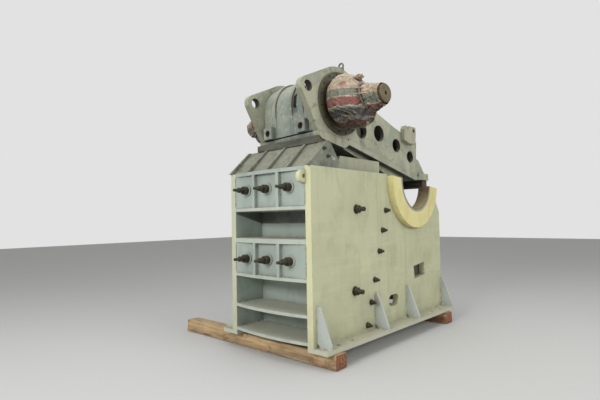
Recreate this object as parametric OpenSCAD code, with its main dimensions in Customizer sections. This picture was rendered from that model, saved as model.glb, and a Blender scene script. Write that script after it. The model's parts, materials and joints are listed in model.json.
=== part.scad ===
// Jaw crusher frame on two timber skids, with the swing jaw laid face down
// on top of it and the eccentric shaft lying in the swing jaw's bearings.
// X runs across the machine, Y from its front wall to its rear, Z upward.
// The origin is on the floor, under the middle of the front skid.

/* [Frame] */
// Width over the two side plates
frame_w = 1344; // [1300:4:1500]
// Length of the side plates
frame_l = 3060; // [3000:10:3200]
// Height from the underside of the base flange to the top edge
frame_h = 2000; // [1980:5:2080]
// Thickness of a side plate
side_t = 85; // [60:1:95]
// Height at which the rear edge starts to lean forward
rear_edge_h = 1490; // [1400:10:1560]
// How far the base flange reaches past a side plate
flange_out = 184; // [160:1:240]
// Thickness of the base flange
flange_t = 50; // [30:1:70]
// Radius of a foundation bolt hole
anchor_r = 26; // [15:1:32]
// Distance from a foundation bolt hole to the base flange's outer edge
anchor_edge = 83; // [50:1:120]
// Distance from the front edge to the inner front foundation holes
anchor_front_y = 541; // [400:1:600]
// Distance from the rear edge to the inner rear foundation holes
anchor_rear_in = 559; // [500:1:650]
// Distance between the inner and outer foundation holes of a pair
anchor_pair = 252; // [200:1:280]

/* [Foot gussets] */
// Height of a foot gusset above the base flange
gusset_h = 430; // [300:5:500]
// Thickness of a foot gusset
gusset_t = 36; // [20:1:50]
// Width of a foot gusset at its top
gusset_top_w = 34; // [20:1:60]
// Radius of the notch in a gusset's inner corner
gusset_notch_r = 42; // [20:1:60]

/* [Bearing seats] */
// Distance from the front edge to the seat's centre
seat_y = 2190; // [2170:5:2260]
// Height of the seat's centre above the base
seat_z = 1920; // [1900:5:1940]
// Radius of the machined seat
seat_r = 385; // [340:1:400]
// Outside radius of the seat ring
ring_r = 645; // [620:1:660]
// How far the ring stands out from the side plate
ring_proud = 85; // [40:1:120]
// Height of the joint face over the seat's centre
joint_h = -5; // [-20:1:10]
// Angle at which the joint face leans down to the rear
joint_lean = 5.5; // [3:0.1:8]

/* [Front wall] */
// Distance from the front edge to the wall plate
wall_y = 445; // [400:5:500]
// Thickness of the wall plate
wall_t = 60; // [40:1:80]
// How far the horizontal ribs bow out at the middle
rib_bow = 55; // [20:1:80]
// Thickness of the two box panels
panel_t = 40; // [20:1:60]
// Thickness of the cap plate
cap_t = 43; // [30:1:60]
// Distance from the top edge down to the underside of the top box
top_box_drop = 475; // [440:5:520]
// Thickness of the ribs under the boxes
box_rib_t = 38; // [25:1:50]
// Height of the underside of the upper rib
upper_rib_z = 1145; // [1100:5:1180]
// Thickness of the upper rib
upper_rib_t = 55; // [30:1:70]
// Height of the underside of the middle box
middle_box_z = 733; // [650:5:800]
// Height of the underside of the lower shelf
shelf_z = 355; // [300:5:420]
// Thickness of the lower shelf and of the bottom rib
shelf_t = 35; // [25:1:50]
// Height of the underside of the bottom rib
bottom_rib_z = 65; // [60:1:100]
// Distance of the upright ribs from the middle
upright_x = 200; // [150:5:240]
// Thickness of an upright rib
upright_t = 46; // [20:1:60]

/* [Fixed jaw] */
// Distance between the jaw bolts
jaw_bolt_pitch = 360; // [340:5:380]
// Radius of a jaw bolt's shank
jaw_bolt_r = 18; // [15:1:28]
// Length of bolt that stands out of the box panel
jaw_bolt_out = 218; // [200:2:240]
// Distance from the top edge down to the top row of jaw bolts
top_bolt_drop = 220; // [200:5:260]
// Height of the middle row of jaw bolts
middle_bolt_z = 955; // [900:5:1000]
// Thickness of the fixed jaw plate behind its teeth
die_t = 90; // [60:1:110]
// Height of the fixed jaw plate's teeth
tooth_h = 45; // [25:1:60]
// Number of teeth across the fixed jaw plate
tooth_n = 11; // [9:1:13]
// Height of the fixed jaw plate's lower edge
die_z = 150; // [120:5:250]

/* [Cheek plates] */
// Thickness of a cheek plate
cheek_t = 35; // [20:1:40]
// Height of a cheek plate's top edge
cheek_top = 2166; // [2120:2:2170]
// Distance from the front edge to the cheek plate's top rear corner
cheek_rear_y = 1490; // [1440:5:1500]
// Radius of a small cheek bolt
cheek_bolt_r = 18; // [15:1:35]
// Radius of a large cheek bolt
wedge_bolt_r = 28; // [20:1:55]

/* [Feed lip] */
// Height of the feed lip above the frame
lip_h = 300; // [240:5:302]
// Thickness of the feed lip's plates
lip_t = 30; // [20:1:40]
// Number of gussets in the feed lip
lip_gussets = 5; // [3:1:7]

/* [Rear wall] */
// Distance of the rear wall plate from the frame's rear edge
rear_in = 110; // [80:5:160]
// Thickness of the rear wall plate
rear_t = 50; // [30:1:60]
// Height of the rear wall's top edge
rear_top = 1420; // [1350:5:1480]

/* [Swing jaw] */
// Distance from the frame's front edge to the barrel's axis
jaw_y = 768; // [760:1:780]
// Height of the barrel's axis above the frame's top edge
jaw_rise = 810; // [808:1:830]
// Angle by which the swing jaw lies turned, seen from above
jaw_turn = 3.5; // [2:0.1:4]
// Length of the swing jaw from the barrel's axis to its tail
jaw_l = 1995; // [1990:1:2020]
// Width of the swing jaw over its side walls
jaw_w = 1050; // [1030:2:1060]
// Outside radius of the jaw's bearing housings
housing_r = 460; // [440:1:480]
// Thickness of a bearing housing
housing_t = 85; // [70:1:110]
// Outside radius of the barrel between the housings
barrel_r = 395; // [370:1:410]
// Radius of the bore through the barrel
bore_r = 300; // [260:1:310]
// Thickness of the jaw's side walls
jaw_wall_t = 55; // [35:1:70]
// Radius of the lifting hole in a housing's ear
ear_hole_r = 63; // [40:1:70]
// Outside radius of a bearing cover
cover_r = 386; // [370:1:388]
// Thickness of a bearing cover
cover_t = 25; // [15:1:30]

/* [Shaft] */
// Length of the eccentric shaft
shaft_l = 2409; // [2340:1:2440]
// Radius of the shaft's ends
shaft_end_r = 108; // [95:1:115]
// Offset of the shaft's ends from the jaw bearings' axis
eccentricity = 18; // [10:1:25]
// Radius of the journals in the jaw bearings
journal_r = 160; // [140:1:180]
// Radius of the main bearing on the shaft
main_bearing_r = 245; // [200:1:260]

/* [Skids] */
// Height of the timber skids
skid_h = 170; // [120:5:220]
// Width of the timber skids
skid_w = 200; // [150:5:260]
// Distance from the frame's front edge to the front skid's middle
skid_front_y = 200; // [150:5:260]
// Distance from the frame's rear edge to the rear skid's middle
skid_rear_in = 210; // [160:5:280]
// Reach of the front skid to the left of the middle
skid_left = 1850; // [1500:10:1900]
// Reach of a skid to the right of the middle
skid_right = 890; // [870:5:1000]

/* [Hidden] */
$fn = 64;
// Clearance where a round piece is let into another
seat_gap = 0.3;
// Running clearance of the shaft in its bearings
running_gap = 0.06;
// Axial clearance between turning and fixed pieces
side_gap = 7;
// Clearance of a bolt in its hole
bolt_gap = 2;

half_w = frame_w / 2;
inner_x = half_w - side_t;
front_y = -skid_front_y;
wall_back_y = wall_y + wall_t;
die_face_y = wall_back_y + die_t + tooth_h;
bow_r = (inner_x * inner_x + rib_bow * rib_bow) / (2 * rib_bow);
gusset_ys = [55, 1180, frame_l - 1100, frame_l - gusset_t];
top_box_z = frame_h - top_box_drop;
top_bolt_z = frame_h - top_bolt_drop;
skid_rear_y = frame_l - skid_rear_in;
anchor_x = half_w + flange_out - anchor_edge;
anchor_rear_y = frame_l - anchor_rear_in;
anchor_ys = [anchor_front_y - anchor_pair, anchor_front_y, anchor_rear_y,
    anchor_rear_y + anchor_pair];

// The small cheek bolts lie on a line that leans with the swing jaw
cheek_k = frame_h / 2000;
cheek_bolt_zs = cheek_k * [115, 379, 646, 996, 1260, 1517];
cheek_knee_z = cheek_k * 1620;
cheek_lean = 0.34;
cheek_bolt_foot_y = 965;
function cheek_bolt_y(z) = cheek_bolt_foot_y + cheek_lean * z;
cheek_edge = 85;
wedge_bolts = [[762, cheek_k * 559], [825, cheek_k * 1529]];

jaw_bolt_xs = [-jaw_bolt_pitch, 0, jaw_bolt_pitch];

// Swing jaw outline, from the barrel's axis: Y to the rear, Z upward
jaw_half = jaw_w / 2;
jaw_k = jaw_l / 1995;
jaw_z = frame_h + jaw_rise;
ear_y = -542 * jaw_k;
ear_z = 127 * jaw_k;
ear_r = 115;
back_knee = jaw_k * [772, 4];
back_mid = jaw_k * [1174, -142];
wall_top = jaw_k * [1719, -290];
wall_mid = jaw_k * [1695, -517];
wall_foot = jaw_k * [1717, -710];
light_holes = jaw_k * [[412, -272, 106], [789, -266, 109], [1193, -387, 93], [1534, -519, 81]];
// The face plate: a thick toe, then rails that slope down to the tail
toe_top = jaw_k * [-400, -372];
toe_edge = jaw_k * [-390, -430];
toe_low = jaw_k * [-350, -464];
toe_heel = jaw_k * [58, -543];
rail_start = jaw_k * 139;
rail_slope = -0.245;
rail_t = 75;
function toe_line(y) = toe_top[1] - 0.124 * (y - toe_top[0]);
function rail_line(y) = -381 * jaw_k + rail_slope * y;
tail_low = [jaw_k * 1626, rail_line(jaw_k * 1626) - rail_t];
tail_block_y = jaw_k * 1740;
tail_block_top = jaw_k * -745;
tail_under = jaw_k * -842;
toe = toe_top;
// The jaw lies turned, so it also tips to keep its sloping underside on the frame
jaw_roll = asin(tan(-jaw_turn) * -rail_slope);

// Straight edges end this much inside the circles they run into
tuck = 0.6;
// Upper tangent of the ear's circle and the housing's circle
ear_d = norm([ear_y, ear_z]);
ear_tan = atan2(-ear_z, -ear_y) + acos((ear_r - housing_r) / ear_d);
function on_circle(c, r, a) = [c[0] + (r - tuck) * cos(a), c[1] + (r - tuck) * sin(a)];
// Tangent from the toe to the ear's circle
toe_d = norm([ear_y - toe[0], ear_z - toe[1]]);
toe_dir = atan2(ear_z - toe[1], ear_y - toe[0]) + asin((ear_r - tuck) / toe_d);
toe_len = sqrt(toe_d * toe_d - (ear_r - tuck) * (ear_r - tuck));
ear_low = [toe[0] + toe_len * cos(toe_dir), toe[1] + toe_len * sin(toe_dir)];
// Tangent from the back's knee to the housing's circle
knee_d = norm(back_knee);
knee_dir = atan2(-back_knee[1], -back_knee[0]) - asin((housing_r - tuck) / knee_d);
knee_len = sqrt(knee_d * knee_d - (housing_r - tuck) * (housing_r - tuck));
knee_top = [back_knee[0] + knee_len * cos(knee_dir), back_knee[1] + knee_len * sin(knee_dir)];

cover_face_x = jaw_half + cover_t;
wrap_x0 = cover_face_x + side_gap;
wrap_x1 = shaft_l / 2 - 22;

paint = [0.74, 0.76, 0.64];
edge_paint = [0.80, 0.80, 0.62];
blue_grey = [0.62, 0.70, 0.71];
casting_grey = [0.55, 0.58, 0.54];
machined_brown = [0.33, 0.26, 0.22];
bolt_brown = [0.25, 0.19, 0.15];
timber = [0.66, 0.45, 0.28];
steel = [0.60, 0.58, 0.54];
wrap_colour = [0.78, 0.55, 0.53];

// Frame pieces are drawn from the front edge and the base flange's underside
module at_frame() {
    translate([0, front_y, skid_h]) children();
}

// Swing jaw pieces are drawn from the barrel's axis, as the jaw lies
module at_jaw() {
    at_frame() translate([0, jaw_y, jaw_z]) rotate([0, jaw_roll, -jaw_turn]) children();
}

module left() {
    mirror([1, 0, 0]) children();
}

// A shape drawn in Y and Z, given a thickness along X from x0
module side_profile(x0, t) {
    translate([x0, 0, 0]) rotate([90, 0, 90]) linear_extrude(t) children();
}

// A cylinder along X from x0
module rod_x(x0, l, r) {
    translate([x0, 0, 0]) rotate([0, 90, 0]) cylinder(h = l, r = r);
}

// A cylinder along Y from y0 toward the rear
module rod_y(y0, l, r) {
    translate([0, y0, 0]) rotate([-90, 0, 0]) cylinder(h = l, r = r);
}

module side_outline() {
    polygon([
        [0, flange_t], [0, frame_h], [seat_y, frame_h],
        [seat_y + ring_r, joint_z(seat_y + ring_r)], [frame_l, rear_edge_h],
        [frame_l, flange_t]
    ]);
}

// Height of the joint face at a distance from the front edge
function joint_z(y) = seat_z + joint_h - tan(joint_lean) * (y - seat_y);

module seat_cut(r) {
    translate([seat_y, seat_z]) circle(r);
    translate([seat_y - r, seat_z]) square([2 * r, frame_h]);
}

rear_wall_y = frame_l - rear_in - rear_t;
window = [rear_wall_y - 695, 562, 312, 182];
window_lean = 6.5;
window_mid = [window[0] + window[2] / 2, window[1] + window[3] / 2];
// A point of the leaning window and of what is seen through it
function leaned(p) = window_mid + [
    (p[0] - window_mid[0]) * cos(window_lean) - (p[1] - window_mid[1]) * sin(window_lean),
    (p[0] - window_mid[0]) * sin(window_lean) + (p[1] - window_mid[1]) * cos(window_lean)
];
sight_hole = [1634, 328];
sight_r = 75;
sight_half = 48;

module side_plate() {
    color(paint) difference() {
        side_profile(inner_x, side_t) difference() {
            side_outline();
            seat_cut(ring_r + seat_gap);
            translate(window_mid) rotate(window_lean) square([window[2], window[3]], center = true);
            translate(sight_hole) {
                translate([-sight_half, 0]) circle(sight_r);
                translate([sight_half, 0]) circle(sight_r);
                translate([-sight_half, -sight_r]) square([2 * sight_half, 2 * sight_r]);
            }
        }
        for (z = cheek_bolt_zs)
            translate([0, cheek_bolt_y(z), z]) rod_x(0, frame_w, cheek_bolt_r + bolt_gap);
        for (b = wedge_bolts)
            translate([0, b[0], b[1]]) rod_x(0, frame_w, wedge_bolt_r + bolt_gap);
    }
}

module right_side_plate() {
    at_frame() side_plate();
}

module left_side_plate() {
    at_frame() left() side_plate();
}

module seat_ring() {
    color(edge_paint) side_profile(inner_x, side_t + ring_proud) difference() {
        intersection() {
            translate([seat_y, seat_z]) circle(ring_r, $fn = 128);
            polygon([
                [seat_y - ring_r, seat_z - ring_r], [seat_y + ring_r, seat_z - ring_r],
                [seat_y + ring_r, joint_z(seat_y + ring_r)],
                [seat_y - ring_r, joint_z(seat_y - ring_r)]
            ]);
        }
        translate([seat_y, seat_z]) circle(seat_r, $fn = 128);
    }
}

module right_seat_ring() {
    at_frame() seat_ring();
}

module left_seat_ring() {
    at_frame() left() seat_ring();
}

module base_flange() {
    color(paint) difference() {
        translate([inner_x, 0, 0]) cube([side_t + flange_out, frame_l, flange_t]);
        for (y = anchor_ys)
            translate([anchor_x, y, -1]) cylinder(h = flange_t + 2, r = anchor_r);
    }
}

module right_base_flange() {
    at_frame() base_flange();
}

module left_base_flange() {
    at_frame() left() base_flange();
}

module foot_gusset() {
    translate([half_w, gusset_t, flange_t]) rotate([90, 0, 0]) linear_extrude(gusset_t)
        difference() {
            polygon([
                [0, 0], [flange_out, 0], [flange_out, 40],
                [gusset_top_w, gusset_h], [0, gusset_h]
            ]);
            circle(gusset_notch_r);
        }
}

module foot_gussets() {
    color(blue_grey) for (y = gusset_ys) translate([0, y, 0]) foot_gusset();
}

module right_foot_gussets() {
    at_frame() foot_gussets();
}

module left_foot_gussets() {
    at_frame() left() foot_gussets();
}

module cheek_plate() {
    low = die_z;
    color(paint) difference() {
        side_profile(inner_x - cheek_t, cheek_t) polygon([
            [wall_back_y, low], [wall_back_y, frame_h - cap_t],
            [die_face_y, cheek_top], [cheek_rear_y, cheek_top], [cheek_rear_y, frame_h],
            [cheek_bolt_y(cheek_knee_z) + cheek_edge, cheek_knee_z],
            [cheek_bolt_y(low) + cheek_edge, low]
        ]);
        for (z = cheek_bolt_zs) if (z > low)
            translate([0, cheek_bolt_y(z), z]) rod_x(0, frame_w, cheek_bolt_r + bolt_gap);
        for (b = wedge_bolts)
            translate([0, b[0], b[1]]) rod_x(0, frame_w, wedge_bolt_r + bolt_gap);
    }
}

module right_cheek_plate() {
    at_frame() cheek_plate();
}

module left_cheek_plate() {
    at_frame() left() cheek_plate();
}

// A bolt through the side plate and the cheek plate, with its nut outside
module cheek_bolt(r, nut_h, tip) {
    rod_x(inner_x - cheek_t, side_t + cheek_t + tip, r);
    translate([half_w, 0, 0]) rotate([0, 90, 0]) cylinder(h = nut_h, r = 1.75 * r, $fn = 6);
}

module cheek_bolt_row() {
    for (z = cheek_bolt_zs)
        translate([0, cheek_bolt_y(z), z]) cheek_bolt(cheek_bolt_r, 42, 74);
    for (b = wedge_bolts)
        translate([0, b[0], b[1]]) cheek_bolt(wedge_bolt_r, 56, 124);
}

module cheek_bolts() {
    color(bolt_brown) at_frame() {
        cheek_bolt_row();
        left() cheek_bolt_row();
    }
}

// A round-nosed ear on the inner edge of the right side plate's top front corner
module lifting_ear() {
    ear_nose_r = 72;
    ear_bore_r = 24;
    color(paint) at_frame() side_profile(inner_x - 45, 58)
        translate([0, frame_h - cap_t - ear_nose_r]) difference() {
            translate([-25, 0]) circle(ear_nose_r);
            translate([0, -ear_nose_r - 1]) square([2 * ear_nose_r, 2 * ear_nose_r + 2]);
            translate([-30, 0]) circle(ear_bore_r);
        }
}

// Holes for the jaw bolts, at the height of one row
module jaw_bolt_holes(z) {
    for (x = jaw_bolt_xs)
        translate([x, 0, z]) rod_y(-1, die_face_y, jaw_bolt_r + bolt_gap);
}

module front_wall() {
    color(blue_grey) at_frame() difference() {
        translate([-inner_x, wall_y, bottom_rib_z])
            cube([2 * inner_x, wall_t, frame_h - cap_t - bottom_rib_z]);
        jaw_bolt_holes(top_bolt_z);
        jaw_bolt_holes(middle_bolt_z);
    }
}

// Plan of a horizontal rib: straight sides and back, front bowed outward
module bowed_plan(back_y) {
    intersection() {
        translate([-inner_x, -rib_bow]) square([2 * inner_x, back_y + rib_bow]);
        translate([0, bow_r - rib_bow]) circle(bow_r, $fn = 360);
    }
}

module bowed_rib(z, t, back_y = wall_y) {
    translate([0, 0, z]) linear_extrude(t) bowed_plan(back_y);
}

module cap_plate() {
    color(blue_grey) at_frame() bowed_rib(frame_h - cap_t, cap_t, wall_back_y);
}

module top_box_rib() {
    color(blue_grey) at_frame() bowed_rib(top_box_z, box_rib_t);
}

module upper_rib() {
    color(blue_grey) at_frame() bowed_rib(upper_rib_z, upper_rib_t);
}

module middle_box_rib() {
    color(blue_grey) at_frame() bowed_rib(middle_box_z, box_rib_t);
}

module lower_shelf() {
    color(blue_grey) at_frame() bowed_rib(shelf_z, shelf_t);
}

module bottom_rib() {
    color(blue_grey) at_frame() bowed_rib(bottom_rib_z, shelf_t);
}

// A box panel with two upright ribs whose fronts follow the bow
module box_panel(z0, z1, bolt_z) {
    difference() {
        union() {
            translate([-inner_x, 0, z0]) cube([2 * inner_x, panel_t, z1 - z0]);
            for (s = [-1, 1])
                translate([0, 0, z0]) linear_extrude(z1 - z0) intersection() {
                    bowed_plan(panel_t);
                    translate([s * upright_x - upright_t / 2, -rib_bow])
                        square([upright_t, rib_bow + panel_t]);
                }
        }
        jaw_bolt_holes(bolt_z);
    }
}

module top_box_panel() {
    color(blue_grey) at_frame()
        box_panel(top_box_z + box_rib_t, frame_h - cap_t, top_bolt_z);
}

module middle_box_panel() {
    color(blue_grey) at_frame()
        box_panel(middle_box_z + box_rib_t, upper_rib_z, middle_bolt_z);
}

washer_r = 3.8 * jaw_bolt_r;
washer_t = 16;
cup_r = 2.75 * jaw_bolt_r;
cup_l = 60;
nut_r = 1.95 * jaw_bolt_r;
nut_l = 44;
lock_nut_l = 30;

// A jaw bolt with its washer, spring cup and two nuts
module jaw_bolt() {
    cup_end = washer_t + cup_l;
    rod_y(-jaw_bolt_out, jaw_bolt_out + wall_back_y, jaw_bolt_r);
    rod_y(-washer_t, washer_t, washer_r);
    rod_y(-cup_end, cup_l, cup_r);
    translate([0, -cup_end, 0]) rotate([90, 0, 0]) cylinder(h = nut_l, r = nut_r, $fn = 6);
    translate([0, -cup_end - nut_l, 0]) rotate([90, 18, 0])
        cylinder(h = lock_nut_l, r = 0.92 * nut_r, $fn = 6);
}

module top_jaw_bolts() {
    color(bolt_brown) at_frame() for (x = jaw_bolt_xs)
        translate([x, 0, top_bolt_z]) jaw_bolt();
}

module middle_jaw_bolts() {
    color(bolt_brown) at_frame() for (x = jaw_bolt_xs)
        translate([x, 0, middle_bolt_z]) jaw_bolt();
}

lip_front_y = -40;
lip_top_y = 294;
lip_back_y = 343;
lip_foot_y = 509;
lip_foot_z = 75;

// Side view of the feed lip's gussets, from the frame's top edge
module lip_gusset_outline() {
    polygon([
        [lip_front_y, 0], [lip_top_y, lip_h], [lip_back_y, lip_h],
        [lip_foot_y, lip_foot_z], [lip_foot_y - 25, 0]
    ]);
}

module feed_lip() {
    span = frame_w - lip_t;
    pitch = span / (lip_gussets - 1);
    color(casting_grey) at_frame() translate([0, 0, frame_h]) {
        for (i = [0 : lip_gussets - 1])
            side_profile(-half_w + i * pitch, lip_t) lip_gusset_outline();
        side_profile(-half_w + lip_t, span - lip_t) polygon([
            [lip_front_y + 70, 0], [lip_top_y + 35, lip_h], [lip_back_y, lip_h],
            [lip_foot_y, lip_foot_z], [lip_foot_y - 25, 0], [lip_foot_y - 60, 0],
            [lip_foot_y - 50, lip_foot_z], [lip_back_y - 10, lip_h - 60],
            [lip_front_y + 105, 0]
        ]);
    }
}

// Plan of the corrugated jaw plate, from the wall plate's rear face
module corrugated_plan(w) {
    pitch = w / tooth_n;
    polygon(concat(
        [[-w / 2, 0], [-w / 2, die_t]],
        [for (i = [0 : tooth_n - 1], p = [[0.22, 0], [0.42, 1], [0.58, 1], [0.78, 0]])
            [-w / 2 + (i + p[0]) * pitch, die_t + p[1] * tooth_h]],
        [[w / 2, die_t], [w / 2, 0]]
    ));
}

module fixed_jaw_plate() {
    w = 2 * (inner_x - cheek_t);
    color(steel) at_frame() translate([0, wall_back_y, die_z])
        linear_extrude(frame_h - cap_t - die_z) corrugated_plan(w);
}

module rear_wall() {
    color(blue_grey) at_frame() translate([-inner_x, rear_wall_y, bottom_rib_z])
        cube([2 * inner_x, rear_t, rear_top - bottom_rib_z]);
}

rear_rib_zs = [bottom_rib_z, 520, 960, 1385];

module rear_ribs() {
    color(blue_grey) at_frame() {
        for (z = rear_rib_zs)
            translate([-inner_x, rear_wall_y + rear_t, z])
                cube([2 * inner_x, rear_in, shelf_t]);
    }
}

beam_y = rear_wall_y - 370;
beam_low = 470;
beam_high = 830;

// The box beam that takes the toggle's thrust, with a ledge for the shims
module toggle_beam() {
    color(casting_grey) at_frame() side_profile(-inner_x, 2 * inner_x) difference() {
        polygon([
            [window[0] - 30, beam_low], [rear_wall_y, beam_low], [rear_wall_y, beam_high],
            leaned([beam_y, beam_high]), leaned([beam_y, window[1]]),
            leaned([window[0] - 40, window[1]])
        ]);
        translate([beam_y + 60, window[1]])
            square([rear_wall_y - beam_y - 100, beam_high - window[1] - 60]);
    }
}

shim_n = 6;
shim_pitch = 36;
shim_t = 30;

// Upright shim plates on the beam's ledge, behind the toggle's seat block
module shim_pack() {
    color(steel) at_frame() translate([0, window_mid[0], window_mid[1]])
        rotate([window_lean, 0, 0]) translate([0, -window_mid[0], -window_mid[1]]) {
            for (i = [0 : shim_n - 1])
                translate([-inner_x + 12, beam_y - (i + 1) * shim_pitch, window[1]])
                    cube([2 * (inner_x - 12), shim_t, window[3] - 22]);
            translate([-inner_x + 12, window[0] - 20, window[1]]) difference() {
                cube([2 * (inner_x - 12), 100, window[3] - 10]);
                translate([-1, 0, window[3] / 2]) rotate([0, 90, 0])
                    cylinder(h = frame_w, r = 32);
            }
        }
}

module front_skid() {
    color(timber) at_frame() translate([-skid_left, skid_front_y - skid_w / 2, -skid_h])
        cube([skid_left + skid_right, skid_w, skid_h]);
}

module rear_skid() {
    color(timber) at_frame() translate([-skid_right, skid_rear_y - skid_w / 2, -skid_h])
        cube([2 * skid_right, skid_w, skid_h]);
}

packer_w = 140;
packer_reach = inner_x + 50;
tail_packer_y = seat_y + seat_r + 25;

// A board laid across the rear horns of the seats, cut to the jaw's underside
module tail_packer() {
    y0 = tail_packer_y;
    y1 = y0 + packer_w;
    color(timber) difference() {
        at_frame() side_profile(-packer_reach, 2 * packer_reach) polygon([
            [y0, joint_z(y0)], [y1, joint_z(y1)], [y1, joint_z(y1) + 2 * packer_w],
            [y0, joint_z(y0) + 2 * packer_w]
        ]);
        at_jaw() translate([-2 * jaw_w, 0, tail_under - 2 * seat_gap])
            cube([4 * jaw_w, 2 * jaw_l, 4 * packer_w]);
    }
}

toe_packer_y0 = lip_top_y + 18;
toe_packer_y1 = lip_back_y + 160;
toe_packer_reach = jaw_half - 15;

// A board laid on the feed lip under the swing jaw's toe
module toe_packer() {
    color(timber) difference() {
        at_frame() translate([-toe_packer_reach, toe_packer_y0, frame_h + lip_h])
            cube([2 * toe_packer_reach, toe_packer_y1 - toe_packer_y0, 200]);
        at_jaw() translate([0, 0, -2 * seat_gap]) side_profile(-2 * jaw_w, 4 * jaw_w) polygon([
            [4 * toe_top[0], toe_edge[1] + 40], [toe_edge[0], toe_edge[1]], toe_low, toe_heel,
            [toe_heel[0], 0], [4 * toe_top[0], 0]
        ]);
    }
}

// Rings round the barrel: distance from the middle, width
bands = [[-240, 75], [83, 40], [245, 100]];
band_h = 22;
// The oil pocket in the barrel's front: distance from the middle, radius, rise
pocket = [149, 36, 105];

module jaw_barrel() {
    span = jaw_half - housing_t;
    back = jaw_k * 500;
    set_back = barrel_r - 55;
    color(casting_grey) at_jaw() difference() {
        union() {
            rod_x(-span, 2 * span, barrel_r);
            for (b = bands)
                rod_x(b[0] - b[1] / 2, b[1], barrel_r + band_h);
            side_profile(-span, 2 * span) polygon([
                [-barrel_r, 0], [-barrel_r, toe_line(-set_back) + 26],
                [-set_back, toe_line(-set_back) + 26], [-set_back, toe_line(-set_back)],
                [rail_start, toe_line(rail_start)], [rail_start, rail_line(rail_start)],
                [back, rail_line(back)], [back, 0]
            ]);
        }
        rod_x(-span - 1, 2 * span + 2, bore_r);
        translate([pocket[0], 0, 0]) {
            rod_y(-barrel_r - 40, 85, pocket[1]);
            translate([0, 0, pocket[2]]) rod_y(-barrel_r - 40, 85, pocket[1]);
            translate([tuck - pocket[1], -barrel_r - 40, 0])
                cube([2 * (pocket[1] - tuck), 85, pocket[2]]);
        }
    }
}

module housing_outline() {
    side = 2 * housing_r;
    // The round housing ends where it meets the face plate
    intersection() {
        circle(housing_r, $fn = 128);
        polygon([
            [-side, side], [-side, toe_line(-side)], [rail_start, toe_line(rail_start)],
            [rail_start, rail_line(rail_start)], [side, rail_line(side)], [side, side]
        ]);
    }
    translate([ear_y, ear_z]) circle(ear_r);
    polygon([on_circle([ear_y, ear_z], ear_r, ear_tan), on_circle([0, 0], housing_r, ear_tan),
        [0, 0], toe, ear_low]);
}

module wall_outline() {
    polygon([
        [0, 0], knee_top, back_knee, back_mid, wall_top, wall_mid, wall_foot,
        [wall_foot[0], rail_line(wall_foot[0])], [rail_start, rail_line(rail_start)],
        [rail_start, toe_line(rail_start)], toe_top
    ]);
}

// The upright rib that carries a side wall's rear edge on to the tail block
module tail_rib_outline() {
    polygon([
        wall_mid + [-20, 0], jaw_k * [1784, -552], [jaw_k * 1940, tail_block_top],
        [tail_block_y, tail_block_top], [tail_block_y, rail_line(tail_block_y)],
        [wall_foot[0] - 20, rail_line(wall_foot[0] - 20)]
    ]);
}

// One side of the swing jaw: bearing housing, ear and side wall in one casting
module jaw_cheek() {
    color(casting_grey) difference() {
        union() {
            side_profile(jaw_half - housing_t, housing_t) housing_outline();
            side_profile(jaw_half - jaw_wall_t, jaw_wall_t) wall_outline();
            side_profile(jaw_half - jaw_wall_t + 14, 26) tail_rib_outline();
        }
        rod_x(0, jaw_w, bore_r);
        translate([0, ear_y, ear_z]) rod_x(0, jaw_w, ear_hole_r);
        for (h = light_holes)
            translate([0, h[0], h[1]]) rod_x(0, jaw_w, h[2]);
    }
}

module right_jaw_cheek() {
    at_jaw() jaw_cheek();
}

module left_jaw_cheek() {
    at_jaw() left() jaw_cheek();
}

cover_bore_r = cover_r - 60;

module bearing_cover() {
    color(machined_brown) difference() {
        rod_x(jaw_half, cover_t, cover_r);
        rod_x(jaw_half - 1, cover_t + 2, cover_bore_r);
    }
}

module right_bearing_cover() {
    at_jaw() bearing_cover();
}

module left_bearing_cover() {
    at_jaw() left() bearing_cover();
}

rail_out = 16;
seat_in = 75;

// The face plate with its toe and rails, and the narrower die seat under it
module jaw_face_plate() {
    color(casting_grey) at_jaw() translate([0, seat_gap, -seat_gap]) {
        side_profile(-jaw_half - rail_out, jaw_w + 2 * rail_out) polygon([
            toe_top, toe_edge, toe_low, toe_heel,
            [rail_start, rail_line(rail_start) - rail_t], tail_low,
            [jaw_k * 1793, tail_under], [jaw_l, tail_under], [jaw_l, tail_block_top],
            [tail_block_y, tail_block_top], [tail_block_y, rail_line(tail_block_y)],
            [rail_start, rail_line(rail_start)], [rail_start, toe_line(rail_start)]
        ]);
        side_profile(-jaw_half + seat_in, jaw_w - 2 * seat_in) polygon([
            [rail_start, rail_line(rail_start) - rail_t + 1], jaw_k * [133, -529],
            jaw_k * [361, -604], jaw_k * [820, -723], jaw_k * [1026, -802],
            jaw_k * [1400, -865], jaw_k * [1450, -811],
            [jaw_k * 1450, rail_line(jaw_k * 1450) - rail_t + 1]
        ]);
    }
}

lug_x = 301;
lug_z = -286;
lug_w = 150;
lug_out = 74;
lug_bore_r = 40;

module jaw_lugs() {
    color(casting_grey) at_jaw() for (s = [-1, 1])
        translate([s * lug_x, 0, lug_z]) difference() {
            translate([-lug_w / 2, -barrel_r - lug_out, -lug_w / 2])
                cube([lug_w, lug_out, lug_w]);
            rod_y(-barrel_r - lug_out - 1, 60, lug_bore_r);
        }
}

back_t = 45;
end_t = 40;

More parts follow.
